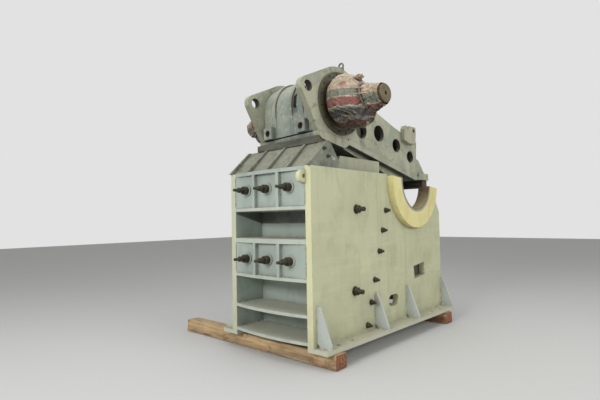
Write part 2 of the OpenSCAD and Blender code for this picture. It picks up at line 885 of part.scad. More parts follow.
// The lengthwise rib, the back plate and the end plate between the jaw's side walls
module jaw_ribs() {
    span = jaw_half - jaw_wall_t;
    start = jaw_k * 500;
    color(casting_grey) at_jaw() {
        side_profile(-25, 50) polygon([
            [start, -back_t], back_knee + [0, -back_t], back_mid + [0, -back_t],
            wall_top + [-20, -back_t], wall_mid + [-20, 0],
            [wall_foot[0] - 20, rail_line(wall_foot[0] - 20)], [start, rail_line(start)]
        ]);
        side_profile(-span, 2 * span) polygon([
            back_knee + [0, -1], back_mid + [0, -1], wall_top + [-20, 4],
            wall_top + [-20, -back_t], back_mid + [0, -back_t], back_knee + [0, -back_t]
        ]);
        side_profile(-span, 2 * span) polygon([
            wall_top + [-20 - end_t, -back_t / 2], wall_top + [-20, -back_t / 2],
            wall_mid + [-20, 0], [wall_foot[0] - 20, rail_line(wall_foot[0] - 20)],
            [wall_foot[0] - 20 - end_t, rail_line(wall_foot[0] - 20 - end_t)],
            wall_mid + [-20 - end_t, 0]
        ]);
    }
}

lug_plate_t = 65;

// A plate on the outside of each side wall, for the tension rod's pin
module tail_lug() {
    color(casting_grey) side_profile(jaw_half, lug_plate_t) difference() {
        polygon(jaw_k * [
            [1312, -300], [1312, -140], [1344, -92], [1378, -88], [1396, -145], [1422, -145],
            [1440, -88], [1606, -92], [1612, -170], [1590, -330], [1440, -340]
        ]);
        translate(jaw_k * [1556, -144]) circle(27);
    }
}

module tail_lugs() {
    at_jaw() {
        tail_lug();
        left() tail_lug();
    }
}

eye_y = 100;

// An eye screwed into the top of the right bearing housing
module housing_lifting_eye() {
    x = jaw_half - housing_t / 2;
    color(casting_grey) at_jaw() difference() {
        union() {
            translate([x, eye_y, housing_r - 40]) cylinder(h = 62, r = 36);
            translate([x, eye_y, housing_r + 48]) rotate([90, 0, 0])
                rotate_extrude($fn = 32) translate([34, 0]) circle(11, $fn = 16);
        }
        rod_x(x - 60, 120, housing_r + seat_gap, $fn = 128);
    }
}

bearing_w = 150;

module jaw_bearing() {
    difference() {
        rod_x(jaw_half - bearing_w, bearing_w, bore_r - seat_gap);
        rod_x(jaw_half - bearing_w - 1, bearing_w + 2, journal_r + running_gap);
    }
}

module jaw_bearings() {
    color(steel) at_jaw() {
        jaw_bearing();
        left() jaw_bearing();
    }
}

main_bearing_x = wrap_x0 + 12;
main_bearing_w = 230;

// Half of the shaft: middle, journal, then the offset end with its bearing
module half_shaft() {
    rod_x(0, jaw_half - bearing_w - 5, journal_r + 25);
    rod_x(0, jaw_half + 4, journal_r);
    translate([0, 0, -eccentricity]) {
        rod_x(jaw_half, shaft_l / 2 - jaw_half, shaft_end_r);
        rod_x(main_bearing_x, main_bearing_w, main_bearing_r);
    }
}

module eccentric_shaft() {
    color(steel) at_jaw() {
        half_shaft();
        left() half_shaft();
    }
}

// Woven sheeting tied round one end of the shaft, as a closed shell
module wrap() {
    inner_gap = 0.5;
    l = wrap_x1 - wrap_x0;
    bulge = main_bearing_r + 85;
    neck = shaft_end_r + 24;
    hole = shaft_end_r + inner_gap;
    bearing_hole = main_bearing_r + inner_gap;
    bearing_end = main_bearing_x + main_bearing_w + inner_gap;
    // The outside, as distance along the wrap and radius
    outside = [
        [0, 0.76 * bulge], [0.07 * l, 0.96 * bulge], [0.18 * l, bulge], [0.3 * l, 0.96 * bulge],
        [0.42 * l, 0.8 * bulge], [0.48 * l, 0.53 * bulge], [0.51 * l, neck + 4],
        [0.55 * l, neck], [0.64 * l, neck + 10], [l - 20, neck + 6], [l, shaft_end_r + 12]
    ];
    translate([0, 0, -eccentricity]) rotate([0, 90, 0]) rotate_extrude($fn = 48) polygon(concat(
        [[hole, wrap_x0]],
        [for (o = outside) [o[1], wrap_x0 + o[0]]],
        [[hole, wrap_x1], [hole, bearing_end], [bearing_hole, bearing_end],
            [bearing_hole, main_bearing_x - inner_gap], [hole, main_bearing_x - inner_gap]]
    ));
}

module right_wrap() {
    color(wrap_colour) at_jaw() wrap();
}

module left_wrap() {
    color(wrap_colour) at_jaw() left() wrap();
}

right_side_plate();
left_side_plate();
right_seat_ring();
left_seat_ring();
right_base_flange();
left_base_flange();
right_foot_gussets();
left_foot_gussets();
right_cheek_plate();
left_cheek_plate();
cheek_bolts();
lifting_ear();
front_wall();
cap_plate();
top_box_panel();
top_box_rib();
upper_rib();
middle_box_panel();
middle_box_rib();
lower_shelf();
bottom_rib();
top_jaw_bolts();
middle_jaw_bolts();
feed_lip();
fixed_jaw_plate();
rear_wall();
rear_ribs();
toggle_beam();
shim_pack();
front_skid();
rear_skid();
tail_packer();
toe_packer();
jaw_barrel();
right_jaw_cheek();
left_jaw_cheek();
right_bearing_cover();
left_bearing_cover();
jaw_face_plate();
jaw_lugs();
jaw_ribs();
tail_lugs();
housing_lifting_eye();
jaw_bearings();
eccentric_shaft();
right_wrap();
left_wrap();
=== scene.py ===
"""Looks of the jaw crusher frame with its swing jaw stored on top. Metres, +Z up."""

import json
from math import asin, cos, exp, pi, radians, sin, tan, tau

import bpy
from mathutils import Matrix, Vector, noise


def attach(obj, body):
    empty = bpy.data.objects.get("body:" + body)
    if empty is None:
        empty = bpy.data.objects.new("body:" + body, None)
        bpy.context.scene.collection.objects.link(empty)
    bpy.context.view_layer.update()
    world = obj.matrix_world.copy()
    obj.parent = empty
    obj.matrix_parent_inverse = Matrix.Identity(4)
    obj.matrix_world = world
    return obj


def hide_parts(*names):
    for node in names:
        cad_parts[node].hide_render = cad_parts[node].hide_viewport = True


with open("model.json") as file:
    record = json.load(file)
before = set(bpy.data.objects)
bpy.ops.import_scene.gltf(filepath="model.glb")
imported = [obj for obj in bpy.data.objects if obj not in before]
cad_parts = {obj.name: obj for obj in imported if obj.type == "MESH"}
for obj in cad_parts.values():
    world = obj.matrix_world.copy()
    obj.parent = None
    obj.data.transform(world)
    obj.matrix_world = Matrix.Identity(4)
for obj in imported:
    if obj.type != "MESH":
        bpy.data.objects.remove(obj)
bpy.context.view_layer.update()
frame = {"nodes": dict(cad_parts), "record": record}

NODES = frame["nodes"]

# Camera: eye height, bearing and focal length of the photograph
IMAGE_W = 600
FOCAL_PX = 440.97
SENSOR_MM = 36.0
EYE = Vector((3.764, -3.744, 1.588))
YAW = 0.7424
PITCH = 0.0438
ROLL = -0.0174

# Places of the CAD pieces that the details sit on
FRONT_Y = -0.200
SKID_H = 0.170
HALF_W = 0.672
INNER_X = 0.587
FRAME_L = 3.060
FRAME_H = 2.000
FLANGE_T = 0.050
FLANGE_OUT = 0.184
JAW_AXIS = Vector((0.0, 0.568, 2.980))
JAW_TURN = radians(-3.5)
JAW_SLOPE = 0.245
JAW_ROLL = asin(tan(JAW_TURN) * JAW_SLOPE)
JAW_HALF = 0.525
JAW_SIDE_HOLES = [  # distance behind the axis, height, radius
    (-0.542, 0.127, 0.063), (0.412, -0.272, 0.106), (0.789, -0.266, 0.109), (1.193, -0.387, 0.093),
    (1.534, -0.519, 0.081),
]
BARREL_HALF = 0.438
BARREL_RINGS = [(-0.240, 0.0375), (0.083, 0.020), (0.245, 0.050)]  # middle, half width
LUG_X = 0.301
LUG_BORE_Z = -0.286
EYE_SOCKET_X = 0.149
COVER_R = 0.386
COVER_T = 0.025
ECCENTRICITY = 0.018
SHAFT_END_R = 0.108
SHAFT_HALF = 1.2045
SEAT = Vector((0.0, 1.990, 2.090))
SEAT_R = 0.385
WRAP_START = 0.557

JAW = Matrix.Translation(JAW_AXIS) @ Matrix.Rotation(JAW_TURN, 4, "Z") @ Matrix.Rotation(JAW_ROLL, 4, "Y")
MIRROR = Matrix.Scale(-1.0, 4, Vector((1.0, 0.0, 0.0)))
SIDES = (Matrix.Identity(4), MIRROR)


def at_frame(x, y, z):
    """A point given from the side plates' front edges and the base flange's underside."""
    return Vector((x, y + FRONT_Y, z + SKID_H))


def link(made):
    bpy.context.scene.collection.objects.link(made)


def camera():
    """The photograph's view, looking up slightly from the right front."""
    data = bpy.data.cameras.new("camera")
    data.sensor_width = SENSOR_MM
    data.lens = SENSOR_MM * FOCAL_PX / IMAGE_W
    data.clip_end = 100.0
    cam = bpy.data.objects.new("camera", data)
    level = Matrix.Rotation(YAW, 4, "Z") @ Matrix.Rotation(pi / 2.0 + PITCH, 4, "X")
    cam.matrix_world = Matrix.Translation(EYE) @ level @ Matrix.Rotation(ROLL, 4, "Z")
    link(cam)
    bpy.context.scene.camera = cam


# Materials. Colours are given as they look on a screen, 0 to 255

def linear(colour):
    """A screen colour as Blender's linear values."""
    values = []
    for part in colour:
        part /= 255.0
        values.append(part / 12.92 if part <= 0.04045 else ((part + 0.055) / 1.055) ** 2.4)
    return (*values, 1.0)


class Graph:
    """A material's node tree, built step by step."""

    def __init__(self, name):
        self.mat = bpy.data.materials.new(name)
        self.mat.use_nodes = True
        self.tree = self.mat.node_tree
        self.shader = self.tree.nodes["Principled BSDF"]
        self.coord = self.node("ShaderNodeTexCoord")
        self.place = self.coord.outputs["Object"]
        self.normal = self.node("ShaderNodeNewGeometry").outputs["Normal"]
        self.colour = None

    def feed(self, socket, value):
        if isinstance(value, bpy.types.NodeSocket):
            self.tree.links.new(value, socket)
        else:
            socket.default_value = value

    def node(self, kind, settings=None, inputs=None):
        made = self.tree.nodes.new(kind)
        for key, value in (settings or {}).items():
            setattr(made, key, value)
        for key, value in (inputs or {}).items():
            self.feed(made.inputs[key], value)
        return made

    def stretched(self, scale):
        made = self.node("ShaderNodeMapping", None, {"Vector": self.place, "Scale": scale})
        return made.outputs["Vector"]

    def noise(self, scale, detail=4.0, stretch=None, roughness=0.55, distortion=0.0):
        made = self.node("ShaderNodeTexNoise", None, {
            "Vector": self.stretched(stretch) if stretch else self.place, "Scale": scale,
            "Detail": detail, "Roughness": roughness, "Distortion": distortion})
        return made.outputs["Fac"]

    def cells(self, stretch):
        made = self.node("ShaderNodeTexVoronoi", None, {"Vector": self.stretched(stretch), "Scale": 1.0})
        return made.outputs["Distance"]

    def math(self, operation, *values, clamp=False):
        settings = {"operation": operation, "use_clamp": clamp}
        return self.node("ShaderNodeMath", settings, dict(enumerate(values))).outputs[0]

    def times(self, first, *more):
        for value in more:
            first = self.math("MULTIPLY", first, value)
        return first

    def plus(self, first, *more):
        for value in more:
            first = self.math("ADD", first, value)
        return first

    def minus(self, first, second):
        return self.math("SUBTRACT", first, second)

    def size(self, value):
        return self.math("ABSOLUTE", value)

    def above(self, value, limit):
        return self.math("GREATER_THAN", value, limit)

    def below(self, value, limit):
        return self.math("LESS_THAN", value, limit)

    def wave(self, value, rate):
        return self.math("SINE", self.times(value, rate))

    def vector(self, operation, *vectors):
        return self.node("ShaderNodeVectorMath", {"operation": operation}, dict(enumerate(vectors)))

    def span(self, value, low, high, to_low=0.0, to_high=1.0):
        """value, clamped, with low..high brought to to_low..to_high."""
        made = self.node("ShaderNodeMapRange", {"clamp": True}, {
            "Value": value, "From Min": low, "From Max": high, "To Min": to_low, "To Max": to_high})
        return made.outputs["Result"]

    def near(self, value, middle, fade, full):
        """1 where value is within full of the middle, 0 from fade on."""
        return self.span(self.size(self.minus(value, middle)), fade, full)

    def clouds(self, scale, detail, low, high, to_low=0.0, to_high=1.0, **look):
        """Patches of noise, with low..high brought to to_low..to_high."""
        return self.span(self.noise(scale, detail, **look), low, high, to_low, to_high)

    def wobble(self, scale, detail, amount):
        """Noise about zero."""
        return self.times(self.minus(self.noise(scale, detail), 0.5), amount)

    def mix(self, factor, first, second):
        """From first to second, each a socket or a screen colour."""
        first, second = (linear(side) if isinstance(side, tuple) else side for side in (first, second))
        made = self.node("ShaderNodeMix", {"data_type": "RGBA"}, {0: factor, 6: first, 7: second})
        return made.outputs[2]

    def coat(self, mask, tint, share=1.0):
        """Covers the colour so far with tint where mask is 1, by a share."""
        self.colour = self.mix(mask if share == 1.0 else self.times(mask, share), self.colour, tint)

    def steps(self, value, stops):
        """Stripes over value; stops are (where it starts, colour)."""
        made = self.node("ShaderNodeValToRGB", None, {"Fac": value})
        made.color_ramp.interpolation = "CONSTANT"
        held = made.color_ramp.elements
        for stop, (position, colour) in zip(held, (stops[0], stops[-1])):
            stop.position, stop.color = position, linear(colour)
        for position, colour in stops[1:-1]:
            held.new(position).color = linear(colour)
        return made.outputs["Color"]

    def part(self, vector, axis):
        return self.node("ShaderNodeSeparateXYZ", None, {"Vector": vector}).outputs[axis]

    def at(self, axis):
        return self.part(self.place, axis)

    def faces(self, axis):
        return self.part(self.normal, axis)

    def up(self):
        """1 on surfaces that face up, 0 on walls and undersides."""
        return self.span(self.faces("Z"), 0.25, 0.85)

    def away(self, first, first_mid, second, second_mid):
        """Distance from an axis, by the two coordinates across that axis."""
        a, b = self.minus(first, first_mid), self.minus(second, second_mid)
        return self.math("SQRT", self.plus(self.times(a, a), self.times(b, b)))

    def softened(self, radius):
        """The surface's direction with its edges rounded."""
        return self.node("ShaderNodeBevel", {"samples": 4}, {"Radius": radius}).outputs["Normal"]

    def edge_wear(self, radius, amount):
        """Where an edge is exposed, broken up by noise."""
        same = self.vector("DOT_PRODUCT", self.softened(radius), self.normal).outputs["Value"]
        worn = self.times(self.span(same, 0.99, 0.86), self.clouds(9.0, 5.0, 0.42, 0.62))
        return self.math("MULTIPLY", worn, amount, clamp=True)

    def corners(self, distance):
        """1 deep in corners, 0 on open faces; the materials darken by it as painted shade."""
        made = self.node("ShaderNodeAmbientOcclusion", {"samples": 4}, {"Distance": distance})
        return self.span(made.outputs["AO"], 0.85, 0.35)

    def finish(self, roughness, height, strength, distance, metallic=0.0, round_edges=0.004):
        """Feeds the shader; height, strength and distance say how bumpy the surface is."""
        bump = self.node("ShaderNodeBump", None, {
            "Height": height, "Strength": strength, "Distance": distance,
            "Normal": self.softened(round_edges)})
        self.feed(self.shader.inputs["Base Color"], self.colour)
        self.feed(self.shader.inputs["Roughness"], roughness)
        self.shader.inputs["Metallic"].default_value = metallic
        self.feed(self.shader.inputs["Normal"], bump.outputs["Normal"])
        return self.mat


def painted(name, main, pale, dull, dust, roughness=0.62, streaks=0.5, dirt=0.55, rough_cast=0.0,
            settled=1.0, extra=None):
    """Sprayed primer on steel plate: clouds, faint runs, dust on top faces, painted shade in corners."""
    g = Graph(name)
    g.colour = g.mix(g.clouds(1.3, 5, 0.35, 0.68), main, pale)
    blotch = g.clouds(4.5, 6, 0.50, 0.74, stretch=(1, 1, 0.55), distortion=0.6)
    g.coat(blotch, dull, 0.55)
    runs = g.clouds(1, 5, 0.52, 0.72, stretch=(16, 16, 0.9))
    g.coat(g.times(runs, g.clouds(0.9, 3, 0.45, 0.62)), dull, streaks)
    sweep = g.clouds(1, 5, 0.55, 0.75, stretch=(2.4, 2.4, 9), distortion=0.8)
    g.coat(sweep, pale, 0.35)
    if extra is not None:
        extra(g)
    g.coat(g.clouds(34, 3, 0.68, 0.76), dull, 0.5)
    dusty = g.clouds(7, 5, 0.25, 0.7, 0.35 * settled, 0.85 * settled)
    g.coat(g.times(g.up(), dusty), dust)
    # Painted shade: corners darkened by an occlusion mask, broken up by noise
    corner_shade_mask = g.times(g.corners(0.12), g.clouds(5, 5, 0.3, 0.7, 0.35, 1))
    g.coat(corner_shade_mask, (78, 76, 66), dirt)
    g.coat(g.edge_wear(0.005, 0.8), (112, 96, 80))
    height = g.plus(g.times(g.noise(170, 3), 0.25), g.times(g.noise(9), 0.6))
    if rough_cast > 0.0:
        height = g.plus(height, g.times(g.noise(48, 6, roughness=0.7), rough_cast))
    rough = g.clouds(12, 4, 0.3, 0.7, roughness - 0.12, roughness + 0.14)
    return g.finish(rough, height, 0.35 + 0.3 * min(rough_cast, 1), 0.003)


# Colour of the painted shade high in the front recess
RECESS_DARK = (58, 62, 58)


def recess_shade(g):
    """Painted shade high in the recess below the top box, with an edge that falls to the back."""
    y, z = g.at("Y"), g.at("Z")
    edge = g.minus(1.668, g.times(g.plus(y, -FRONT_Y), 0.29))
    above = g.span(g.minus(z, g.plus(edge, g.wobble(6, 3, 0.012))), -0.004, 0.006)
    patchy = g.clouds(4, 5, 0.30, 0.60, 0.62, 0.85)
    deep = g.times(g.span(y, -0.195, -0.17), g.below(y, 0.30))
    within = g.times(g.below(z, 1.715), g.below(g.size(g.at("X")), INNER_X + 0.004))
    return g.times(g.times(above, patchy), g.times(deep, within))


def recess_shade_on_wall(g):
    # Painted shade high in the recess
    g.coat(recess_shade(g), RECESS_DARK)


def plate_marks(g):
    """The side plates and their flanges: front edges, inner faces, stains and touched-up patches."""
    x, y, z = (g.at(axis) for axis in "XYZ")
    edge_coat = g.mix(g.above(x, 0), (192, 195, 168), (214, 211, 168))
    g.coat(g.span(g.faces("Y"), -0.6, -0.9), edge_coat, 0.75)
    # The inner faces have the front's blue-grey coat
    outward = g.times(x, g.faces("X"))
    inside = g.span(outward, -0.2, -0.4)
    inner_coat = g.mix(g.clouds(3, 5, 0.35, 0.65), (174, 187, 180), (152, 165, 157))
    g.coat(inside, inner_coat)
    # The painted shade high in the recess reaches the inner faces too
    g.coat(g.times(inside, recess_shade(g)), RECESS_DARK)
    # A tan stain runs along the flange's top near the front
    along = g.times(g.span(y, -0.20, 0.05), g.span(y, 1.3, 0.6))
    stain = g.times(along, g.times(g.up(), g.clouds(6, 4, 0.45, 0.6)))
    g.coat(stain, (150, 118, 84), 0.7)
    # A pale filled patch and faint brushed bands on the plates' outer faces
    frayed = g.wobble(22, 4, 0.06)
    wide = g.near(g.plus(y, frayed), 0.790, 0.105, 0.085)
    tall = g.near(g.plus(z, frayed), 1.010, 0.095, 0.075)
    filled = g.times(g.span(outward, 0.4, 0.6), g.times(wide, tall))
    g.coat(filled, (200, 199, 160), 0.45)
    brushed = g.clouds(1, 6, 0.50, 0.64, stretch=(1, 1.1, 11), distortion=0.7)
    g.coat(g.times(brushed, g.span(z, 1.75, 1.45)), (198, 200, 168), 0.30)
    # Handling and splashes make the plates greyer low down, and the cheeks greyer at the top
    low = g.times(g.span(z, 0.9, 0.2), g.clouds(3, 5, 0.4, 0.7))
    g.coat(low, (140, 138, 118), 0.45)
    patchy = g.clouds(1, 4, 0.30, 0.60, 0.35, 0.85, stretch=(6, 6, 1))
    cheek = g.times(g.above(z, SKID_H + FRAME_H + 0.002), patchy)
    g.coat(cheek, (146, 148, 130))
    g.coat(g.below(z, SKID_H + FLANGE_T + 0.002), (182, 183, 168), 0.6)


def seat_marks(g):
    """The seat's bore is bare and brown, with a narrow grey machined lip round it."""
    radius = g.plus(g.away(g.at("Y"), SEAT.y, g.at("Z"), SEAT.z), g.wobble(14, 3, 0.008))
    g.coat(g.span(radius, SEAT_R + 0.040, SEAT_R + 0.035), (150, 148, 134))
    brown = g.mix(g.clouds(16, 6, 0.35, 0.65), (92, 76, 52), (58, 48, 34))
    g.coat(g.span(radius, SEAT_R + 0.008, SEAT_R + 0.004), brown)
    rust = g.times(g.clouds(7, 6, 0.56, 0.68), g.span(radius, SEAT_R + 0.05, SEAT_R))
    g.coat(rust, (120, 72, 40), 0.6)


def jaw_place(g):
    """Where a point lies in the swing jaw's own axes, from its barrel's axis."""
    turned = g.node("ShaderNodeVectorRotate", {"rotation_type": "EULER_XYZ", "invert": True}, {
        "Vector": g.vector("SUBTRACT", g.place, JAW_AXIS).outputs["Vector"],
        "Rotation": JAW.to_euler("XYZ")})
    return turned.outputs["Vector"]


def casting_marks(g):
    """The swing jaw's castings: grey patches, dark smudges, scuffs, and painted shade in holes and on
    undersides.
    """
    g.coat(g.clouds(3.1, 6, 0.44, 0.60, distortion=0.9), (132, 139, 124), 0.65)
    smudge = g.clouds(5.5, 6, 0.54, 0.68, roughness=0.65, distortion=1.4)
    g.coat(smudge, (92, 94, 80), 0.7)
    scuff = g.clouds(9, 6, 0.62, 0.72, stretch=(1, 2.6, 2.6), distortion=1.0)
    g.coat(scuff, (198, 196, 172), 0.6)
    # Painted shade on faces that face down
    g.coat(g.span(g.faces("Z"), -0.25, -0.85, 0, 0.85), (48, 50, 43))
    place = jaw_place(g)
    x, y, z = (g.part(place, axis) for axis in "XYZ")
    # The barrel has a blue-grey film, flakes, and grime along its rings
    barrel = g.below(g.size(x), BARREL_HALF)
    g.coat(barrel, (124, 136, 130), 0.45)
    film = g.times(barrel, g.span(x, -0.10, 0.12, 0.35, 0.8))
    g.coat(g.times(film, g.clouds(4.2, 6, 0.36, 0.58, distortion=0.9)), (102, 114, 112))
    flake = g.times(barrel, g.clouds(13, 6, 0.58, 0.66, roughness=0.7))
    g.coat(flake, (184, 190, 178), 0.6)
    for middle, half in BARREL_RINGS:
        line = g.near(g.size(g.minus(x, middle)), half, 0.016, 0.003)
        g.coat(g.times(line, g.clouds(6, 4, 0.34, 0.58)), (86, 88, 76), 0.6)
    # Painted shade inside the side walls' holes
    for along, height, radius in JAW_SIDE_HOLES:
        hole = g.span(g.away(y, along, z, height), radius + 0.004, radius + 0.001)
        g.coat(hole, (50, 48, 38), 0.8)
    # The lugs' bores are rusty, with a stain round them
    for side in (-1, 1):
        radius = g.away(x, side * LUG_X, z, LUG_BORE_Z)
        g.coat(g.times(g.span(radius, 0.043, 0.040), g.below(y, -0.38)), (74, 56, 40))
        halo = g.times(g.span(radius, 0.066, 0.045), g.below(y, -0.44), g.clouds(14, 5, 0.38, 0.6))
        g.coat(halo, (116, 92, 66), 0.6)
    # Painted shade round the socket in the barrel's front, and darker painted shade in the socket
    off = g.size(g.minus(x, EYE_SOCKET_X))
    socket_shade = g.times(g.below(y, -0.26), g.span(off, 0.052, 0.036), g.near(z, 0.045, 0.16, 0.12))
    g.coat(socket_shade, (78, 78, 66), 0.75)
    sunk = g.span(g.away(y, 0, z, 0), 0.392, 0.386)
    g.coat(g.times(g.below(off, 0.037), sunk, g.below(y, -0.30)), (44, 42, 34))


def lip_marks(g):
    """Grey, dirtier castings: darker ends, dark smudges and pale scuffs."""
    g.coat(g.span(g.size(g.faces("X")), 0.6, 0.9), (112, 118, 104), 0.6)
    smudge = g.clouds(4.2, 6, 0.48, 0.62, roughness=0.65, distortion=1.2)
    g.coat(smudge, (80, 82, 71), 0.75)
    scuff = g.clouds(11, 6, 0.60, 0.70, stretch=(2.6, 1, 1), distortion=0.8)
    g.coat(scuff, (192, 190, 168), 0.7)


def machined_rust():
    g = Graph("machined_rust")
    g.colour = g.mix(g.clouds(9, 6, 0.35, 0.68), (82, 82, 64), (56, 56, 44))
    g.coat(g.clouds(22, 6, 0.56, 0.68), (98, 72, 46), 0.7)
    g.coat(g.edge_wear(0.004, 0.7), (128, 118, 104))
    rough = g.clouds(15, 4, 0.3, 0.7, 0.42, 0.72)
    return g.finish(rough, g.noise(120), 0.3, 0.001, metallic=0.25)


def bolt_steel():
    g = Graph("bolt_steel")
    g.colour = g.mix(g.clouds(24, 5, 0.35, 0.68), (60, 57, 40), (37, 36, 26))
    g.coat(g.clouds(60, 5, 0.58, 0.70), (98, 72, 42), 0.7)
    g.coat(g.times(g.up(), g.clouds(40, 4, 0.4, 0.7)), (122, 112, 98), 0.5)
    g.coat(g.edge_wear(0.002, 0.8), (124, 116, 94))
    rough = g.clouds(50, 4, 0.3, 0.7, 0.34, 0.6)
    return g.finish(rough, g.noise(300, 3), 0.3, 0.0006, metallic=0.35, round_edges=0.0015)


def manganese_steel():
    g = Graph("manganese_steel")
    g.colour = g.mix(g.clouds(3.5, 6, 0.35, 0.68), (96, 88, 80), (66, 62, 58))
    g.coat(g.clouds(11, 6, 0.52, 0.66), (118, 78, 52))
    g.coat(g.up(), (136, 126, 110), 0.5)
    g.coat(g.edge_wear(0.006, 0.6), (140, 132, 124))
    height = g.plus(g.noise(60, 6, roughness=0.7), g.times(g.noise(8, 3), 1.5))
    return g.finish(0.68, height, 0.6, 0.003, metallic=0.2)


def shaft_steel():
    """Turned steel: rings round the shaft's own axis, under a film of old grease."""
    g = Graph("shaft_steel")
    arm = g.vector("SUBTRACT", g.place, JAW @ Vector((0, 0, -ECCENTRICITY)))
    across = g.vector("CROSS_PRODUCT", arm.outputs["Vector"], JAW.to_3x3() @ Vector((1, 0, 0)))
    radius = g.vector("LENGTH", across.outputs["Vector"]).outputs["Value"]
    rings = g.plus(g.wave(radius, tau / 0.011), g.times(g.noise(40, 3), 1.2))
    g.colour = g.mix(g.span(rings, -1, 1.6), (88, 77, 54), (118, 105, 77))
    g.coat(g.clouds(13, 6, 0.46, 0.68), (86, 73, 50), 0.7)
    rim = g.span(radius, SHAFT_END_R - 0.016, SHAFT_END_R - 0.006)
    g.coat(rim, (88, 77, 56), 0.5)
    g.coat(g.span(radius, 0.026, 0.020), (58, 50, 38))
    g.coat(g.clouds(30, 6, 0.6, 0.7), (122, 76, 46))
    rough = g.clouds(20, 4, 0.3, 0.7, 0.34, 0.55)
    return g.finish(rough, g.wave(radius, tau / 0.0035), 0.35, 0.0006, metallic=0.45)


def timber(name, pale, brown, dark, share=1.0):
    """Sawn timber with its grain along X; share says how far it is bleached and its ends show grain."""
    g = Graph(name)
    bands = g.noise(1, 5, stretch=(1.2, 26, 26), distortion=1.1)
    fine = g.noise(1, 4, stretch=(3, 120, 120))
    g.colour = g.mix(g.span(bands, 0.3, 0.7), pale, brown)
    g.coat(g.span(fine, 0.48, 0.68), dark, 0.6)
    g.coat(g.clouds(3.2, 5, 0.48, 0.68), (136, 120, 94), 0.5 * share)
    stains = g.clouds(1, 6, 0.50, 0.62, stretch=(3, 8, 8), roughness=0.65, distortion=1.2)
    g.coat(stains, dark, 0.62)
    bleached = g.clouds(1, 5, 0.56, 0.68, stretch=(2, 30, 30))
    g.coat(bleached, (212, 194, 160), 0.55 * share)
    knots = g.span(g.cells((1.7, 6, 6)), 0.14, 0.06)
    g.coat(knots, (74, 44, 26))
    rings = g.wave(g.noise(2.2, 2, distortion=0.4), 110)
    end_grain = g.mix(g.span(rings, -1, 1), (146, 98, 66), (112, 72, 48))
    g.coat(g.span(g.size(g.faces("X")), 0.6, 0.85), end_grain, share)
    g.coat(g.up(), (182, 164, 130), 0.35 * share)
    # Painted shade in corners
    g.coat(g.corners(0.10), (64, 52, 38), 0.6)
    return g.finish(0.78, g.plus(g.times(fine, 0.6), bands), 0.6, 0.003, round_edges=0.006)


# Stripes round a wrap, from the front up and over: share of the way round, colour
RED = (144, 78, 70)
DARK_RED = (104, 54, 48)
PINK = (188, 164, 142)
PALE = (178, 170, 142)
WHITE = (190, 184, 168)
GREY_GREEN = (120, 124, 106)
PALE_GREEN = (130, 136, 112)
BLUE = (32, 40, 54)
DARK_GREEN = (56, 64, 54)
GREY = (124, 124, 114)
STRIPES = [
    (0.000, RED), (0.026, WHITE), (0.034, GREY), (0.042, GREY_GREEN), (0.080, PINK),
    (0.108, PALE), (0.124, PINK), (0.160, PALE), (0.184, PINK), (0.206, GREY),
    (0.222, PALE), (0.232, PINK), (0.252, PALE), (0.272, PALE), (0.300, DARK_RED),
    (0.322, WHITE), (0.340, BLUE), (0.362, GREY), (0.395, PINK), (0.430, RED),
    (0.452, PALE_GREEN), (0.478, BLUE), (0.500, GREY), (0.530, DARK_RED), (0.556, WHITE),
    (0.570, DARK_GREEN), (0.598, PINK), (0.640, DARK_RED), (0.668, GREY), (0.690, BLUE),
    (0.720, RED), (0.742, PALE), (0.765, BLUE), (0.790, WHITE), (0.806, DARK_GREEN),
    (0.847, DARK_RED), (0.905, GREY), (0.926, BLUE), (0.961, PALE_GREEN), (0.975, WHITE),
    (0.982, RED),
]
THREAD = 0.0045


